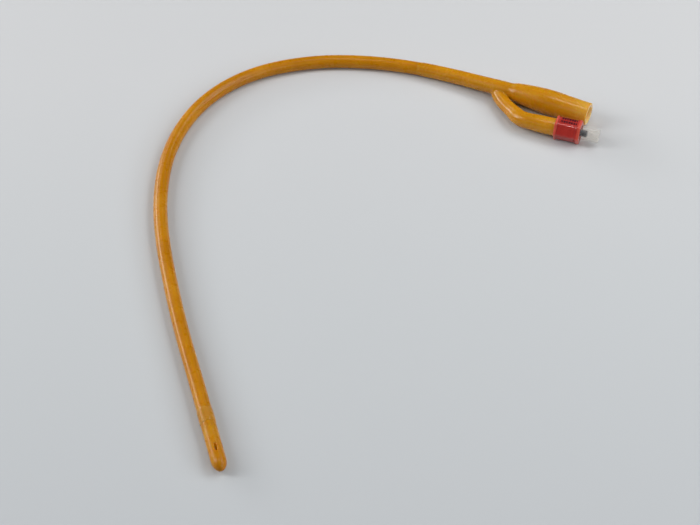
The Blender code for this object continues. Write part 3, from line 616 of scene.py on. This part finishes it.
def funnel_radius(back):
    """Outer radius of the neck and funnel at a distance back from the mouth.

    Level rises between the neck, the shoulder, the bulge and the mouth. From shoulder to bulge
    the rise is t + c t (1-t), a little fuller than straight. A short moving average softens all.
    """
    fine = np.arange(-0.004, MOULDING_LENGTH + 0.004, 0.0001)
    neck_rise = blend((MOULDING_LENGTH - fine) / (MOULDING_LENGTH - NECK_FULL_BACK))
    shoulder_rise = blend((SHOULDER_BACK + SHOULDER_RISE - fine) / SHOULDER_RISE)
    cone_rise = np.clip((SHOULDER_BACK - fine) / (SHOULDER_BACK - BULGE_BACK), 0.0, 1.0)
    cone_rise += CONE_FULLNESS * cone_rise * (1 - cone_rise)
    mouth_fall = blend((BULGE_BACK - fine) / BULGE_BACK)
    neck_edge = blend((MOULDING_LENGTH - fine) / NECK_EDGE)
    radius = (
        SHAFT_R
        + (NECK_R - SHAFT_R) * neck_edge
        + (NECK_FULL_R - NECK_R) * neck_rise
        + (SHOULDER_R - NECK_FULL_R) * shoulder_rise
        + (BULGE_R - SHOULDER_R) * cone_rise
        - (BULGE_R - MOUTH_R) * mouth_fall
    )
    soft = np.convolve(np.pad(radius, 10, mode="edge"), np.ones(21) / 21, "valid")
    return np.interp(back, fine, soft)


def arm_radius(arm, along):
    """Outer radius of the arm: its root, a rise to the elbow, and a rise to the collar."""
    full = arm.length - (COLLAR_LENGTH + ARM_END_FACE) - ARM_FULL_BEFORE_COLLAR
    elbow_start = ARM_ELBOW_AT - ARM_ELBOW_RISE / 3
    elbow_end = ARM_ELBOW_AT + ARM_ELBOW_RISE / 2
    late_start = ARM_ELBOW_AT + ARM_ELBOW_RISE
    elbow = blend((along - elbow_start) / (elbow_end - elbow_start))
    late = blend((along - late_start) / (full - late_start))
    return ARM_ROOT_R + (ARM_ELBOW_R - ARM_ROOT_R) * elbow + (ARM_END_R - ARM_ELBOW_R) * late


def distance_to(line, radius_at, points):
    """Distance from points to a tube's surface, and the direction away from the tube's line.

    Behind its start the tube ends in a ball, so there the distance is to the first centre.
    """
    s = np.arange(0.0, line.length, 0.0004)
    centre, way, _, _ = line.at(s)
    nearest = np.concatenate([
        np.argmin(((part[:, None] - centre) ** 2).sum(-1), axis=1)
        for part in np.array_split(points, max(1, len(points) // 1500))
    ])
    along = ((points - centre[nearest]) * way[nearest]).sum(-1)
    along = np.where((nearest == 0) & (along < 0), 0.0, along)
    out = points - centre[nearest] - along[:, None] * way[nearest]
    reach = np.linalg.norm(out, axis=-1)
    return reach - radius_at(s[nearest] + along), out / reach[:, None]


def settle(points, main, arm):
    """Draw points onto the surface where the two tubes run together.

    The two distances d1 and d2 are joined as h d1 + (1-h) d2 - k h (1-h), with
    h = (1 + (d2-d1)/k) / 2 kept between 0 and 1, and a point moves along the joined direction
    until that is zero. This rounds the crotch between the tubes to about k.
    """
    length, k = main.length, CROTCH_FILLET
    for _ in range(7):
        d1, n1 = distance_to(main, lambda s: funnel_radius(length - s), points)
        d2, n2 = distance_to(arm, lambda s: arm_radius(arm, s), points)
        h = np.clip((1 + (d2 - d1) / k) / 2, 0.0, 1.0)
        joined = h * d1 + (1 - h) * d2 - k * h * (1 - h)
        way = h[:, None] * n1 + (1 - h[:, None]) * n2
        points = points - (joined / np.maximum((way**2).sum(-1), 0.3))[:, None] * way
    return points


def make_moulded_y(main, arm, finish):
    """Neck, funnel and arm as one skin, with the drainage bore and the valve's socket.

    The neck and funnel are circles along the main line with a block left open where the arm
    leaves. Rows of points lead from the block's edge to the arm's first whole circle, and are
    settled onto the surface where the two tubes run together.
    """
    end = main.length
    neck = end - MOULDING_LENGTH
    neck_floor = neck + SPIGOT_LENGTH + SEAT_GAP
    root = end - ARM_ROOT_BACK
    turn = angles(AROUND, -math.pi)
    fine = np.arange(
        root - BLOCK_BEHIND - FINE_MARGIN, root + BLOCK_BEFORE + FINE_MARGIN, FINE_ROW
    )
    outer_s = np.concatenate([
        np.arange(neck + 0.0004, fine[0], ROW), fine, np.arange(fine[-1] + ROW, end - 0.0010, ROW),
    ])
    outer, outer_lay = carried(main, outer_s, funnel_radius(end - outer_s), turn)
    low = int(np.searchsorted(outer_s, root - BLOCK_BEHIND))
    high = int(np.searchsorted(outer_s, root + BLOCK_BEFORE))
    left, right = BLOCK_COLUMN - BLOCK_HALF_COLUMNS, BLOCK_COLUMN + BLOCK_HALF_COLUMNS
    skin = Skin()
    keep = np.ones((len(outer_s) - 1, AROUND), bool)
    keep[low:high, left:right] = False
    skin.add(outer, outer_lay, keep=keep)
    block = perimeter(low, high, left, right)
    add_arm(skin, main, arm, outer[block], outer_lay[block])
    mouth = outline([
        (end - 0.0010, float(funnel_radius(0.0010)), 0.0),
        (end, MOUTH_R, 0.0005),
        (end, MOUTH_BORE_R + 0.0002, 0.00035),
        (end - 0.0006, MOUTH_BORE_R, 0.0003),
        (end - FUNNEL_BORE_DEPTH, FUNNEL_BORE_R, 0.0015),
        (end - FUNNEL_CONE_DEPTH, LUMEN_R, 0.0020),
        (end - FUNNEL_CONE_DEPTH - 0.0070, LUMEN_R, 0.0),
        (neck_floor, LUMEN_R, 0.0),
        (neck_floor, SOCKET_R, 0.0),
        (neck, SOCKET_R, 0.0001),
        (neck, SHAFT_R, 0.00004),
        (neck + 0.0004, float(funnel_radius(MOULDING_LENGTH - 0.0004)), 0.0),
    ])
    in_lumen = (mouth[1] < SOCKET_R) & (mouth[0] < end - FUNNEL_CONE_DEPTH)
    shift = LUMEN_OFFSET * blend((end - FUNNEL_CONE_DEPTH - mouth[0]) / 0.0060) * in_lumen
    inner, inner_lay = carried(main, *mouth, turn, shift)
    skin.add(np.concatenate([outer[-1:], inner[1:-1], outer[:1]]), inner_lay)
    return skin.object("moulded_y", finish, "y_funnel")


def add_arm(skin, main, arm, edge, edge_lay):
    """The arm's skin from the block's edge to its end, its socket and its channel's mouth."""
    turn = angles(len(edge))
    end = arm.length
    near = np.arange(0.0, ARM_CLEAR + 1e-9, 0.0002)
    # On the arm a turn of 0 faces the funnel's mouth, which is against its level side
    whole, _ = carried(arm, near, arm_radius(arm, near), math.pi - turn)
    depth = distance_to(main, lambda s: funnel_radius(main.length - s), whole.reshape(-1, 3))[0]
    inside = (depth < 0).reshape(whole.shape[:2])
    last = len(near) - 1 - np.argmax(inside[::-1], axis=0)
    foot_s = np.where(inside.any(axis=0), near[last], 0.0)
    foot_s = np.mean([np.roll(foot_s, k) for k in range(-4, 5)], axis=0)
    rings = []
    foot = ring_points(arm, foot_s, turn)
    for t in np.linspace(0.0, 1.0, 13)[1:]:
        rings.append(edge + (foot - edge) * (1 - (1 - t) ** 1.4))
    for t in np.linspace(0.0, 1.0, 18)[1:-1]:
        rings.append(ring_points(arm, foot_s + (ARM_CLEAR - foot_s) * t, turn))
    joint = np.stack(rings)
    joint = settle(joint.reshape(-1, 3), main, arm).reshape(joint.shape)
    floor = end + ARM_SOCKET_FLOOR - ARM_END_FACE
    profile = outline([
        (end, ARM_END_R, 0.0002),
        (end, ARM_SOCKET_R, 0.0001),
        (floor, ARM_SOCKET_R, 0.0001),
        (floor, ARM_BORE_R, 0.0001),
        (floor - CHANNEL_DEPTH, ARM_BORE_R, 0.0003),
        (floor - CHANNEL_DEPTH - 0.0004, 0.00001, 0.0),
    ])
    smooth_s = np.arange(ARM_CLEAR, end - 0.0003, 0.0004)
    along = np.concatenate([smooth_s, profile[0]])
    radius = np.concatenate([arm_radius(arm, smooth_s), profile[1]])
    sleeve, sleeve_lay = carried(arm, along, radius, math.pi - turn)
    sleeve_lay = sleeve_lay + (main.length - ARM_ROOT_BACK, 0.0, 0.0)
    fade = np.linspace(0.0, 1.0, len(joint) + 2)[:, None, None]
    lay = edge_lay[None] * (1 - fade) + sleeve_lay[:1] * fade
    skin.add(np.concatenate([edge[None], joint, sleeve[:1]]), lay)
    skin.add(sleeve, sleeve_lay)
    skin.join(sleeve[-1], sleeve[-1].mean(0), sleeve_lay[-1])


def ring_points(arm, along, turn):
    """One point of the arm's skin for each turn, each at its own distance along the arm."""
    centre, _, side, up = arm.at(along)
    radius = arm_radius(arm, along)
    return centre + radius[:, None] * (np.sin(turn)[:, None] * up - np.cos(turn)[:, None] * side)


def valve_line():
    """The valve's axis, read from a point behind the collar's outer face."""
    start, end = valve_point(-LINE_BEHIND), valve_point(LINE_BEFORE)
    return Line(np.vstack([straight(start, end), end]))


def hexagon_rows(axis, along, half_flats):
    """Six-sided sections with rounded ridges, two flats level.

    With E the direction of a ridge, N the outward normal and q the ridge's radius, a point of
    the ridge is E (half_flats - q)/cos 30 + N q; points of a flat are even between ridges.
    """
    swing = np.linspace(-math.pi / 6, math.pi / 6, 9)
    middle = (np.arange(6) * math.pi / 3)[:, None]
    corner = np.stack([np.cos(middle), np.sin(middle)], -1)
    normal = np.stack([np.cos(middle + swing), np.sin(middle + swing)], -1)
    reach = (half_flats - RIDGE_R)[:, None, None, None] / math.cos(math.pi / 6)
    ridges = corner * reach + normal * RIDGE_R
    start, end = ridges[:, :, -1:], np.roll(ridges[:, :, :1], -1, axis=1)
    t = np.linspace(0.0, 1.0, 9)[1:-1, None]
    flats = start + (end - start) * t
    section = np.concatenate([ridges, flats], axis=2).reshape(len(along), -1, 2)
    centre, _, side, up = axis.at((along + LINE_BEHIND)[:, None])
    return centre + section[..., :1] * side + section[..., 1:] * up, section


def make_collar(axis, finish):
    """Six-sided collar with a soft raised rim at each end, bored for the arm and the port."""
    full, low = COLLAR_HALF_FLATS, COLLAR_HALF_FLATS - RIM_STEP
    back = -COLLAR_LENGTH
    along, flats = outline([
        (back, full - 0.0006, 0.0002),
        (back, full, 0.0005),
        (back + RIM_BACK, full, 0.0004),
        (back + RIM_BACK + 0.0002, low, 0.0003),
        (-RIM_FRONT - 0.0002, low, 0.0003),
        (-RIM_FRONT, full, 0.0004),
        (0.0, full, 0.0005),
        (0.0, full - 0.0006, 0.0002),
    ])
    outer, section = hexagon_rows(axis, along, flats)
    around = np.arctan2(section[..., 1], section[..., 0])[0]
    bore = outline([
        (0.0, PORT_HOLE_R, 0.0001),
        (-COLLAR_FRONT, PORT_HOLE_R, 0.0),
        (-COLLAR_FRONT, COLLAR_BORE_R, 0.0),
        (back, COLLAR_BORE_R, 0.0001),
    ])
    inner, _ = carried(axis, bore[0] + LINE_BEHIND, bore[1], around)
    bored = bore[1][:, None, None] * np.stack([np.cos(around), np.sin(around)], -1)
    across = np.concatenate([section, bored])
    depth = np.broadcast_to(np.concatenate([along, bore[0]])[:, None, None], (*across.shape[:2], 1))
    skin = Skin()
    skin.add(np.concatenate([outer, inner]), np.concatenate([depth, across], -1), loop=True)
    return skin.object("red_collar", finish, "valve_collar")


def make_port(axis, finish):
    """Syringe port and the valve's barrel behind it, one turned piece of clear plastic."""
    lip = PORT_R + PORT_LIP
    floor = PORT_LENGTH - PORT_CONE_DEPTH
    cone = PORT_BORE_R - PORT_CONE_DEPTH * PORT_TAPER
    flange = COLLAR_BORE_R - SEAT_GAP
    along, radius = outline([
        (PORT_LENGTH, PORT_BORE_R, 0.00015),
        (PORT_LENGTH, lip, 0.00015),
        (PORT_LENGTH - 0.0009, lip, 0.0001),
        (PORT_LENGTH - 0.0012, PORT_R, 0.0001),
        (FLANGE_FACE, PORT_R, 0.0001),
        (FLANGE_FACE, flange, 0.0001),
        (FLANGE_BACK, flange, 0.0001),
        (FLANGE_BACK, BARREL_R, 0.0),
        (BARREL_END, BARREL_R, 0.0002),
        (BARREL_END, CHAMBER_R, 0.0001),
        (THROAT_SEAT, CHAMBER_R, 0.0001),
        (THROAT_SEAT, THROAT_R, 0.0001),
        (floor, THROAT_R, 0.0001),
        (floor, cone, 0.0001),
    ], closed=True)
    skin = Skin()
    skin.add(*carried(axis, along + LINE_BEHIND, radius, angles(AROUND)), loop=True)
    return skin.object("syringe_port", finish, "port_housing")


def make_spring(axis, finish):
    """Coil spring with close end coils.

    A round wire follows the helix (h(t), R cos 2 pi t, R sin 2 pi t), where h climbs slowly over
    the first and last turns. Round the helix it is r (cos b out + sin b along), with out square
    to the helix's own way.
    """
    turns = np.linspace(0.0, SPRING_TURNS, int(SPRING_TURNS * 28) + 1)
    close = 2.3 * SPRING_WIRE_R
    heights = np.interp(
        turns, [0.0, 1.0, SPRING_TURNS - 1.0, SPRING_TURNS],
        [SPRING_BASE, SPRING_BASE + close, SPRING_TOP - close, SPRING_TOP],
    )
    level, rise = np.cos(2 * math.pi * turns), np.sin(2 * math.pi * turns)
    helix = np.stack([heights, SPRING_R * level, SPRING_R * rise], -1)
    way = unit(np.gradient(helix, axis=0))
    out = np.stack([0 * turns, level, rise], -1)
    out = unit(out - way * (out * way).sum(-1, keepdims=True))
    around = angles(12)[:, None]
    wire = np.cos(around) * out[:, None] + np.sin(around) * np.cross(way, out)[:, None]
    lay = helix[:, None] + SPRING_WIRE_R * wire
    centre, _, side, up = axis.at(lay[..., 0] + LINE_BEHIND)
    grid = centre - lay[..., 1:2] * side + lay[..., 2:] * up
    skin = Skin()
    skin.add(grid, lay)
    for end in (0, -1):
        skin.join(grid[end], grid[end].mean(0), lay[end])
    made = skin.object("valve_coil", finish, "valve_spring")
    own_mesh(made)


def add_node(tree, kind, inputs=None, **settings):
    """New shader node with its settings, and its inputs set or linked."""
    made = tree.nodes.new(kind)
    for key, value in settings.items():
        setattr(made, key, value)
    for key, value in (inputs or {}).items():
        named = [put for put in made.inputs if put.enabled and put.name == key]
        put = named[0] if named else made.inputs[key]
        if isinstance(value, bpy.types.NodeSocket):
            tree.links.new(value, put)
        else:
            put.default_value = value
    return made


def math_node(tree, operation, *values):
    """Result of one operation on numbers or sockets."""
    return add_node(tree, "ShaderNodeMath", dict(enumerate(values)), operation=operation).outputs[0]


def ranged(tree, value, before, after, **settings):
    """Value carried from one range to another."""
    return add_node(tree, "ShaderNodeMapRange", {
        "Value": value, "From Min": before[0], "From Max": before[1],
        "To Min": after[0], "To Max": after[1],
    }, **settings).outputs["Result"]


def mixed(tree, share, plain, other, **settings):
    """Plain value or colour with a share of another over it."""
    made = add_node(tree, "ShaderNodeMix", {"Factor": share, "A": plain, "B": other}, **settings)
    return next(put for put in made.outputs if put.enabled and put.name == "Result")


def new_finish(name, **sockets):
    """Principled material with its plain sockets set."""
    made = bpy.data.materials.new(name)
    made.use_nodes = True
    shader = made.node_tree.nodes["Principled BSDF"]
    for key, value in sockets.items():
        shader.inputs[key.replace("_", " ")].default_value = value
    return made, made.node_tree, shader


def colours(tree, factor, stops):
    """Colour ramp through (place, linear colour) stops."""
    ramp = add_node(tree, "ShaderNodeValToRGB", {"Fac": factor})
    for k, (place, colour) in enumerate(stops):
        stop = ramp.color_ramp.elements[k] if k < 2 else ramp.color_ramp.elements.new(place)
        stop.position, stop.color = place, (*colour, 1.0)
    return ramp.outputs["Color"]


def noise(tree, place, scale, detail=3.0, stretch=None):
    """Smooth noise at a scale per metre; stretch multiplies the three coordinates first."""
    if stretch:
        stretched = add_node(tree, "ShaderNodeMapping", {"Vector": place, "Scale": stretch})
        place = stretched.outputs["Vector"]
    made = add_node(tree, "ShaderNodeTexNoise", {"Vector": place, "Scale": scale, "Detail": detail})
    return made.outputs["Fac"]


def scaled(tree, value, low, high):
    """Middle part of a noise stretched over low to high."""
    return ranged(tree, value, (0.3, 0.7), (low, high))


def relief(tree, shader, height, strength, distance):
    """Bump the surface by a height."""
    bump = add_node(tree, "ShaderNodeBump", {
        "Height": height, "Strength": strength, "Distance": distance,
    })
    tree.links.new(bump.outputs["Normal"], shader.inputs["Normal"])


def lay_place(tree):
    """Place on the straightened line, from the surface's own attribute."""
    return add_node(tree, "ShaderNodeAttribute", attribute_name="lay").outputs["Vector"]


def object_place(tree):
    """Place in the object's own coordinates."""
    return add_node(tree, "ShaderNodeTexCoord").outputs["Object"]


def along_and_radius(tree):
    """Distance along the line of the lay, and the length of (0, r cos a, r sin a) from it."""
    place = lay_place(tree)
    across = add_node(
        tree, "ShaderNodeVectorMath", {0: place, 1: (0.0, 1.0, 1.0)}, operation="MULTIPLY"
    ).outputs["Vector"]
    radius = add_node(tree, "ShaderNodeVectorMath", {0: across}, operation="LENGTH")
    along = add_node(tree, "ShaderNodeSeparateXYZ", {"Vector": place})
    return along.outputs["X"], radius.outputs["Value"]


def latex_finish(name, dark, plain, pale, rough=(0.25, 0.33), shine=0.24, wave=4.0):
    """Dipped latex: clouded amber with faint streaks along the tube and a satin, pored skin."""
    made, tree, shader = new_finish(
        name, Subsurface_Weight=0.6, Subsurface_Scale=0.0013, Subsurface_Radius=(1.0, 0.55, 0.08),
        IOR=1.5, Specular_IOR_Level=shine,
    )
    place = lay_place(tree)
    cloud = noise(tree, place, 90.0, 4.0)
    streak = noise(tree, place, 900.0, 2.0, (0.05, 1.0, 1.0))
    both = mixed(tree, 0.35, cloud, streak)
    tint = colours(tree, both, [(0.36, dark), (0.64, pale), (0.5, plain)])
    tree.links.new(tint, shader.inputs["Base Color"])
    pores = noise(tree, place, 2600.0)
    tree.links.new(scaled(tree, noise(tree, place, 400.0), *rough), shader.inputs["Roughness"])
    waves = noise(tree, place, 180.0, 2.0, (0.4, 1.0, 1.0))
    relief(tree, shader, math_node(tree, "MULTIPLY_ADD", waves, wave, pores), 0.2, 0.00002)
    return made


def base_colour(made):
    """Node tree, shader, and the socket that its base colour comes from."""
    shader = made.node_tree.nodes["Principled BSDF"]
    return made.node_tree, shader, shader.inputs["Base Color"].links[0].from_socket


def painted_glow_inside(made, open_radius, full_radius, start, share):
    """Painted glow inside a bore of the lay, in place of light that seeps through the wall.

    The surface gives off a share of its own colour as light, under any lamps. The share rises as
    the radius falls from open_radius to full_radius, past a start along the line.
    """
    tree, shader, plain = base_colour(made)
    along, radius = along_and_radius(tree)
    deep = ranged(tree, radius, (open_radius, full_radius), (0.0, share))
    strength = math_node(tree, "MULTIPLY", deep, math_node(tree, "GREATER_THAN", along, start))
    tree.links.new(strength, shader.inputs["Emission Strength"])
    tree.links.new(plain, shader.inputs["Emission Color"])


def paler_towards(made, start, end, tint, within=1.0):
    """Blend the colour into a paler tint between two distances along the line of the lay.

    It changes only what lies within a radius of the line.
    """
    tree, shader, plain = base_colour(made)
    along, radius = along_and_radius(tree)
    share = ranged(tree, along, (start, end), (0.0, 1.0), interpolation_type="SMOOTHSTEP")
    share = math_node(tree, "MULTIPLY", share, math_node(tree, "LESS_THAN", radius, within))
    paler = mixed(tree, share, plain, (*tint, 1.0), data_type="RGBA")
    tree.links.new(paler, shader.inputs["Base Color"])


def plastic_finish(name, low, high, rough=(0.22, 0.32), grain=1800.0, bump=0.00001, **sockets):
    """Moulded plastic: slightly uneven colour, gloss and surface, on object coordinates."""
    made, tree, shader = new_finish(name, **sockets)
    place = object_place(tree)
    cloud = noise(tree, place, 300.0)
    tree.links.new(colours(tree, cloud, [(0.35, low), (0.65, high)]), shader.inputs["Base Color"])
    tree.links.new(scaled(tree, noise(tree, place, 700.0), *rough), shader.inputs["Roughness"])
    relief(tree, shader, noise(tree, place, grain), 0.3, bump)
    return made


def marked_finish(made):
    """Two rows of plain dark bars on the collar's upper flat, and a painted highlight: brighter
    rims.

    In the collar's own lay (along, across, height) a bar is where the height is at the flat,
    across is near one of the rows, and the fraction of along / pitch is under a limit.
    """
    tree, shader, plain = base_colour(made)
    place = lay_place(tree)
    along, across, height = add_node(tree, "ShaderNodeSeparateXYZ", {"Vector": place}).outputs

    def put(operation, *values):
        return math_node(tree, operation, *values)

    across = put("ABSOLUTE", put("SUBTRACT", across, MARK_ACROSS))
    row = put("COMPARE", across, MARK_ROW, MARK_HALF_WIDTH)
    length = put("COMPARE", along, MARK_MIDDLE, MARK_HALF_LENGTH)
    top = put("GREATER_THAN", height, COLLAR_HALF_FLATS - 2 * RIM_STEP)
    wander = put("MULTIPLY", noise(tree, place, 1500.0, 0.0), MARK_WANDER)
    turn = put("ADD", put("DIVIDE", along, MARK_PITCH), wander)
    bar = put("LESS_THAN", put("FRACT", turn), MARK_SHARE)
    mask = put("MULTIPLY", put("MULTIPLY", row, length), put("MULTIPLY", top, bar))
    # Painted highlight: both rims get a brighter red than the rest of the collar
    front = put("GREATER_THAN", along, 2 * RIM_STEP - RIM_FRONT)
    rim = put("MAXIMUM", front, put("LESS_THAN", along, RIM_BACK - COLLAR_LENGTH))
    plain = mixed(tree, rim, plain, (0.58, 0.085, 0.055, 1.0), data_type="RGBA")
    tint = mixed(tree, mask, plain, (0.035, 0.008, 0.016, 1.0), data_type="RGBA")
    tree.links.new(tint, shader.inputs["Base Color"])
    return made


def milky_finish():
    """Clear plastic that grows a little milkier along the port and towards its outlines.

    Part of the light goes straight through, and the rest meets the glossy plastic.
    """
    made = plastic_finish(
        "milky_clear", (0.80, 0.79, 0.75), (0.84, 0.83, 0.79), (0.12, 0.2), 600.0, 0.000003,
        IOR=1.49,
    )
    tree = made.node_tree
    shader, out = tree.nodes["Principled BSDF"], tree.nodes["Material Output"]
    through = add_node(tree, "ShaderNodeBsdfTransparent", {"Color": (0.97, 0.965, 0.95, 1.0)})
    rim = add_node(tree, "ShaderNodeLayerWeight", {"Blend": 0.35}).outputs["Facing"]
    along, _ = along_and_radius(tree)
    wander = math_node(tree, "MULTIPLY_ADD", noise(tree, lay_place(tree), 250.0, 1.0), 0.001, along)
    cloud = ranged(tree, wander, MILKY_FROM_TO, (0.06, 0.22))
    part = math_node(tree, "MULTIPLY_ADD", rim, 0.22, cloud)
    both = add_node(tree, "ShaderNodeMixShader", {
        "Fac": part, 1: through.outputs[0], 2: shader.outputs[0],
    })
    tree.links.new(both.outputs[0], out.inputs["Surface"])
    return made


def steel_finish():
    """Drawn spring wire."""
    made, tree, shader = new_finish("drawn_wire", Metallic=1.0)
    grain = noise(tree, object_place(tree), 4000.0)
    tone = colours(tree, grain, [(0.3, (0.50, 0.51, 0.53)), (0.7, (0.66, 0.67, 0.68))])
    tree.links.new(tone, shader.inputs["Base Color"])
    tree.links.new(scaled(tree, grain, 0.2, 0.35), shader.inputs["Roughness"])
    return made


def dress(name, finish):
    """Give a node of the solids a finish in place of its plain colour."""
    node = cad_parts[name]
    node.data.materials.clear()
    node.data.materials.append(finish)


def from_camera(turn, rise):
    """Direction at a turn clockwise from the camera's line of sight, and a rise from level."""
    heading = math.pi / 2 + CAMERA_TURN - math.radians(turn)
    rise = math.radians(rise)
    return (*(math.cos(rise) * level_way(heading))[:2], math.sin(rise))


def lamp(name, turn, rise, distance, width, height, share):
    """Soft lamp at a turn and rise from the camera's view, aimed at the middle of the object.

    The share is the part of a plain white light level that it gives to the table there, so its
    power is share pi2 distance2 / sin(rise).
    """
    way = Vector(from_camera(turn, rise)).normalized()
    data = bpy.data.lights.new(name, "AREA")
    data.shape = "RECTANGLE"
    data.size, data.size_y = width, height
    data.energy = share * math.pi**2 * distance**2 / way.z
    made = bpy.data.objects.new(name, data)
    made.location = Vector(LAMP_AIM) + way * distance
    made.rotation_euler = (-way).to_track_quat("-Z", "Y").to_euler()
    bpy.context.scene.collection.objects.link(made)


def studio():
    """Pale table under the soft lamps, in a dim room; painted shade darkens it towards the camera.
    """
    scene = bpy.context.scene
    scene.view_settings.view_transform = "Standard"
    world = bpy.data.worlds.new("dim_room")
    world.use_nodes = True
    light = world.node_tree.nodes["Background"].inputs
    light["Color"].default_value = (0.97, 0.99, 1.0, 1.0)
    light["Strength"].default_value = 0.02
    scene.world = world
    for values in LAMPS:
        lamp(*values)
    mesh = bpy.data.meshes.new("table")
    corners = [(TABLE_HALF * x, TABLE_HALF * y, 0) for x, y in ((-1, -1), (1, -1), (1, 1), (-1, 1))]
    mesh.from_pydata(corners, [], [(0, 1, 2, 3)])
    table = bpy.data.objects.new("table", mesh)
    scene.collection.objects.link(table)
    made, tree, shader = new_finish("pale_table", Roughness=0.6, Specular_IOR_Level=0.2)
    place = object_place(tree)
    # Painted shade: the table's colour falls from back to front, in place of lamp light falling off
    reach = add_node(
        tree, "ShaderNodeVectorMath", {0: place, 1: from_camera(0, 0)}, operation="DOT_PRODUCT"
    )
    depth = ranged(tree, reach.outputs["Value"], (-0.25, 0.35), (0.0, 1.0))
    cloud = math_node(tree, "MULTIPLY_ADD", noise(tree, place, 3.0), 0.06, -0.03)
    shade = colours(tree, math_node(tree, "ADD", depth, cloud), [
        (0.0, (0.515, 0.54, 0.565)), (1.0, (0.635, 0.642, 0.655)), (0.35, (0.565, 0.588, 0.605)),
        (0.6, (0.61, 0.62, 0.632)),
    ])
    tree.links.new(shade, shader.inputs["Base Color"])
    mesh.materials.append(made)


def build():
    camera()
    main = main_line()
    arm = arm_line()
    axis = valve_line()
    mouth = main.length
    amber = (0.455, 0.175, 0.001), (0.50, 0.20, 0.002), (0.545, 0.23, 0.006)
    sleeve = (0.46, 0.195, 0.012), (0.50, 0.22, 0.020), (0.55, 0.245, 0.030)
    deep_amber = (0.50, 0.205, 0.002), (0.55, 0.235, 0.004), (0.60, 0.27, 0.010)
    tip_finish = latex_finish("tip_latex", *amber)
    # Painted glow inside the tip's lumen and eyes
    painted_glow_inside(tip_finish, 0.0028, 0.0023, NOSE_LENGTH, 0.2)
    moulded = latex_finish("moulded_latex", *deep_amber, (0.23, 0.30), 0.36, 1.5)
    paler_towards(moulded, mouth - 0.012, mouth + 0.001, (0.67, 0.355, 0.04))
    # Painted highlight: the mouth's rim is blended into a pale tint
    paler_towards(moulded, mouth - 0.0025, mouth - 0.0003, (0.72, 0.50, 0.19), 0.0048)
    # Painted glow inside the funnel's bore
    painted_glow_inside(moulded, 0.0036, 0.0033, mouth - FUNNEL_BORE_DEPTH, 0.26)
    shaft, shaft_start, shaft_end = make_shaft(main, latex_finish("dipped_latex", *amber))
    tip = make_tip(main, tip_finish)
    balloon = make_balloon(main, latex_finish("sleeve_latex", *sleeve))
    route = main.at(np.linspace(shaft_end, shaft_start, 90))[0]
    make_moulded_y(main, arm, moulded)
    red = plastic_finish(
        "red_gloss", (0.40, 0.030, 0.024), (0.46, 0.038, 0.030), (0.10, 0.16), 900.0, 0.000003,
        Subsurface_Weight=0.15, Subsurface_Scale=0.001, Subsurface_Radius=(1.0, 0.2, 0.1),
    )
    make_collar(axis, marked_finish(red))
    make_port(axis, milky_finish())
    for node, name, low, high, rough in (
        ("valve_outlet", "white_plastic", (0.70, 0.70, 0.68), (0.80, 0.80, 0.78), (0.3, 0.4)),
        ("valve_stem", "slate_plastic", (0.046, 0.068, 0.092), (0.064, 0.090, 0.118), (0.35, 0.5)),
        ("stem_seal", "seal_rubber", (0.02, 0.02, 0.02), (0.04, 0.04, 0.04), (0.55, 0.7)),
    ):
        dress(node, plastic_finish(name, low, high, rough))
    make_spring(axis, steel_finish())
    studio()


build()
